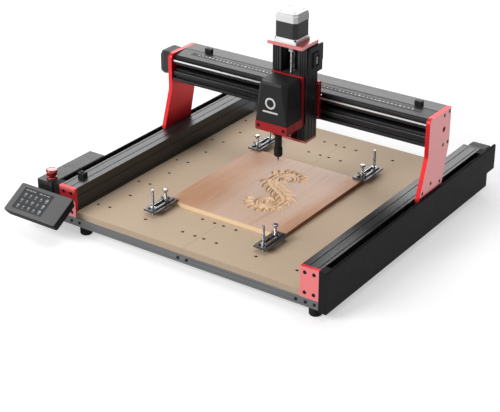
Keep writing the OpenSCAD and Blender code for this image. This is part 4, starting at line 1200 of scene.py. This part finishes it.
class ROUTER_OT_carriage(RouterPiece, bpy.types.Operator):
    """Finish the carriage: plate, column, guides, lead screw and motor"""

    bl_idname = "router.carriage"
    bl_label = "Carriage"

    def execute(self, context):
        dress("red_metal", 0.7, "x_plate")
        dress("ground_x", 0.4, "x_guide_blocks")
        dress("grey_metal", 0.4, "x_nut")
        dress("black_column", 0.4, "column")
        dress("top_metal", 0.7, "column_plates")
        dress("ground_z", 0.5, "z_guides")
        dress("plastic", 0.8, "cable_bracket")
        self.head_motor()
        lead_screw("z_screw", "head_lead_screw", "ground_z", UPRIGHT, 4.0, self.sizes.thread_depth * 0.8,
                   (-36.0, 16.0, 7.5))
        self.connectors()
        self.plate_screws()
        return {"FINISHED"}

    def head_motor(self):
        lo, hi = node_box("z_motor")
        top = node_box("z_motor_cap")[1].z
        stepper("head_motor", (*middle("z_motor").xy, lo.z), UPRIGHT, top - lo.z, 12.0, top - hi.z, "carriage",
                ["z_motor", "z_motor_cap", "column_screws"], "bare_metal", "white_cap")

    def connectors(self):
        lo, hi = node_box("cable_bracket")
        x = lo.x + 6.0
        plug = Shape()
        plug.slab((x, lo.y + 20, hi.z - 40), (x + 1.8, lo.y + 30, hi.z - 22))
        plug.done("bracket_plug", "panel", "carriage", bevel=0.3, slot="black_plastic")
        pins = Shape()
        for k in range(5):
            pins.slab((x + 1.8, lo.y + 23.5, hi.z - 38 + 3.2 * k), (x + 2.0, lo.y + 26.5, hi.z - 36.4 + 3.2 * k))
        pins.done("bracket_pins", "bright", "carriage", slot="bright_screw")

    def plate_screws(self):
        lo, hi = node_box("x_plate")
        screws = Shape()
        for z in (hi.z - 4.5, lo.z + 6.0):
            for x in (lo.x + 2.9, hi.x - 2.9):
                cap_head(screws, (x, lo.y, z), 2.6, FORWARD_Y, 1.2)
        screws.done("carriage_screws", "bright", "carriage", angle=50, slot="bright_screw")


class ROUTER_OT_spindle(RouterPiece, bpy.types.Operator):
    """Finish the sliding head: plate, clamp, shroud, spindle, nose and cutter"""

    bl_idname = "router.spindle"
    bl_label = "Spindle head"

    def execute(self, context):
        dress("red_metal", 0.7, "z_plate", "spindle_clamp")
        dress("grey_metal", 0.4, "z_saddle")
        dress("plastic", 2.0, "spindle_shroud", segments=4)
        dress("dark_grey_metal", 1.0, "spindle_motor")
        dress("dark_screw", 0.4, "spindle_nose", "collet_nut")
        dress("dark_screw", 0.0, "cutter")
        lo, hi = node_box("spindle_clamp")
        screws = Shape()
        for x in (lo.x + 8, hi.x - 8):
            cap_head(screws, (x, lo.y + 3.0, middle("spindle_clamp").z), 4.6, FORWARD_Y, 2.6)
        screws.done("clamp_screws", "dark_screw", "head", angle=50, slot="dark_screw")
        side = Shape()
        cap_head(side, (hi.x - 0.4, lo.y + 8, lo.z + 5), 2.0, ALONG_X, 0.4)
        side.done("clamp_side_screw", "bright", "head", angle=50, slot="bright_screw")
        self.emblem()
        return {"FINISHED"}

    def emblem(self):
        """A plain ring and a bar printed on the shroud's front."""
        x, _, z = middle("spindle_shroud")
        x, y = x - 2.0, node_box("spindle_shroud")[0].y - 0.02
        inner, outer, print_height = 9.0, 13.0, 0.10
        shape = Shape()
        shape.turned([(inner, 0.0), (outer, 0.0), (outer, print_height), (inner, print_height)], (x, y, z),
                     FORWARD_Y, 48, close=True)
        shape.slab((x - 19.0, y - print_height, z - 22.0), (x + 19.0, y, z - 18.2))
        shape.done("shroud_emblem", "white_mark", "head", angle=40, slot="black_plastic")


PIECES = (ROUTER_OT_finishes, ROUTER_OT_stage, ROUTER_OT_base, ROUTER_OT_controls, ROUTER_OT_work,
          ROUTER_OT_gantry, ROUTER_OT_carriage, ROUTER_OT_spindle)


class ROUTER_PT_panel(bpy.types.Panel):
    """Buttons and settings of the router"""

    bl_label = "Router"
    bl_idname = "ROUTER_PT_panel"
    bl_space_type = "VIEW_3D"
    bl_region_type = "UI"
    bl_category = "Router"

    def draw(self, context):
        for group in (context.scene.router_colours, context.scene.router_sizes):
            for key in group.__annotations__:
                self.layout.prop(group, key)
        for piece in PIECES:
            self.layout.operator(piece.bl_idname)


CLASSES = (RouterColours, RouterSizes, *PIECES, ROUTER_PT_panel)


def register():
    for cls in CLASSES:
        bpy.utils.register_class(cls)
    bpy.types.Scene.router_colours = bpy.props.PointerProperty(type=RouterColours)
    bpy.types.Scene.router_sizes = bpy.props.PointerProperty(type=RouterSizes)


def unregister():
    del bpy.types.Scene.router_sizes
    del bpy.types.Scene.router_colours
    for cls in reversed(CLASSES):
        bpy.utils.unregister_class(cls)


def main():
    register()
    bpy.ops.router.finishes()
    bpy.ops.router.stage()
    bpy.ops.router.base()
    bpy.ops.router.controls()
    bpy.ops.router.work()
    bpy.ops.router.gantry()
    bpy.ops.router.carriage()
    bpy.ops.router.spindle()


if __name__ == "__main__":
    main()
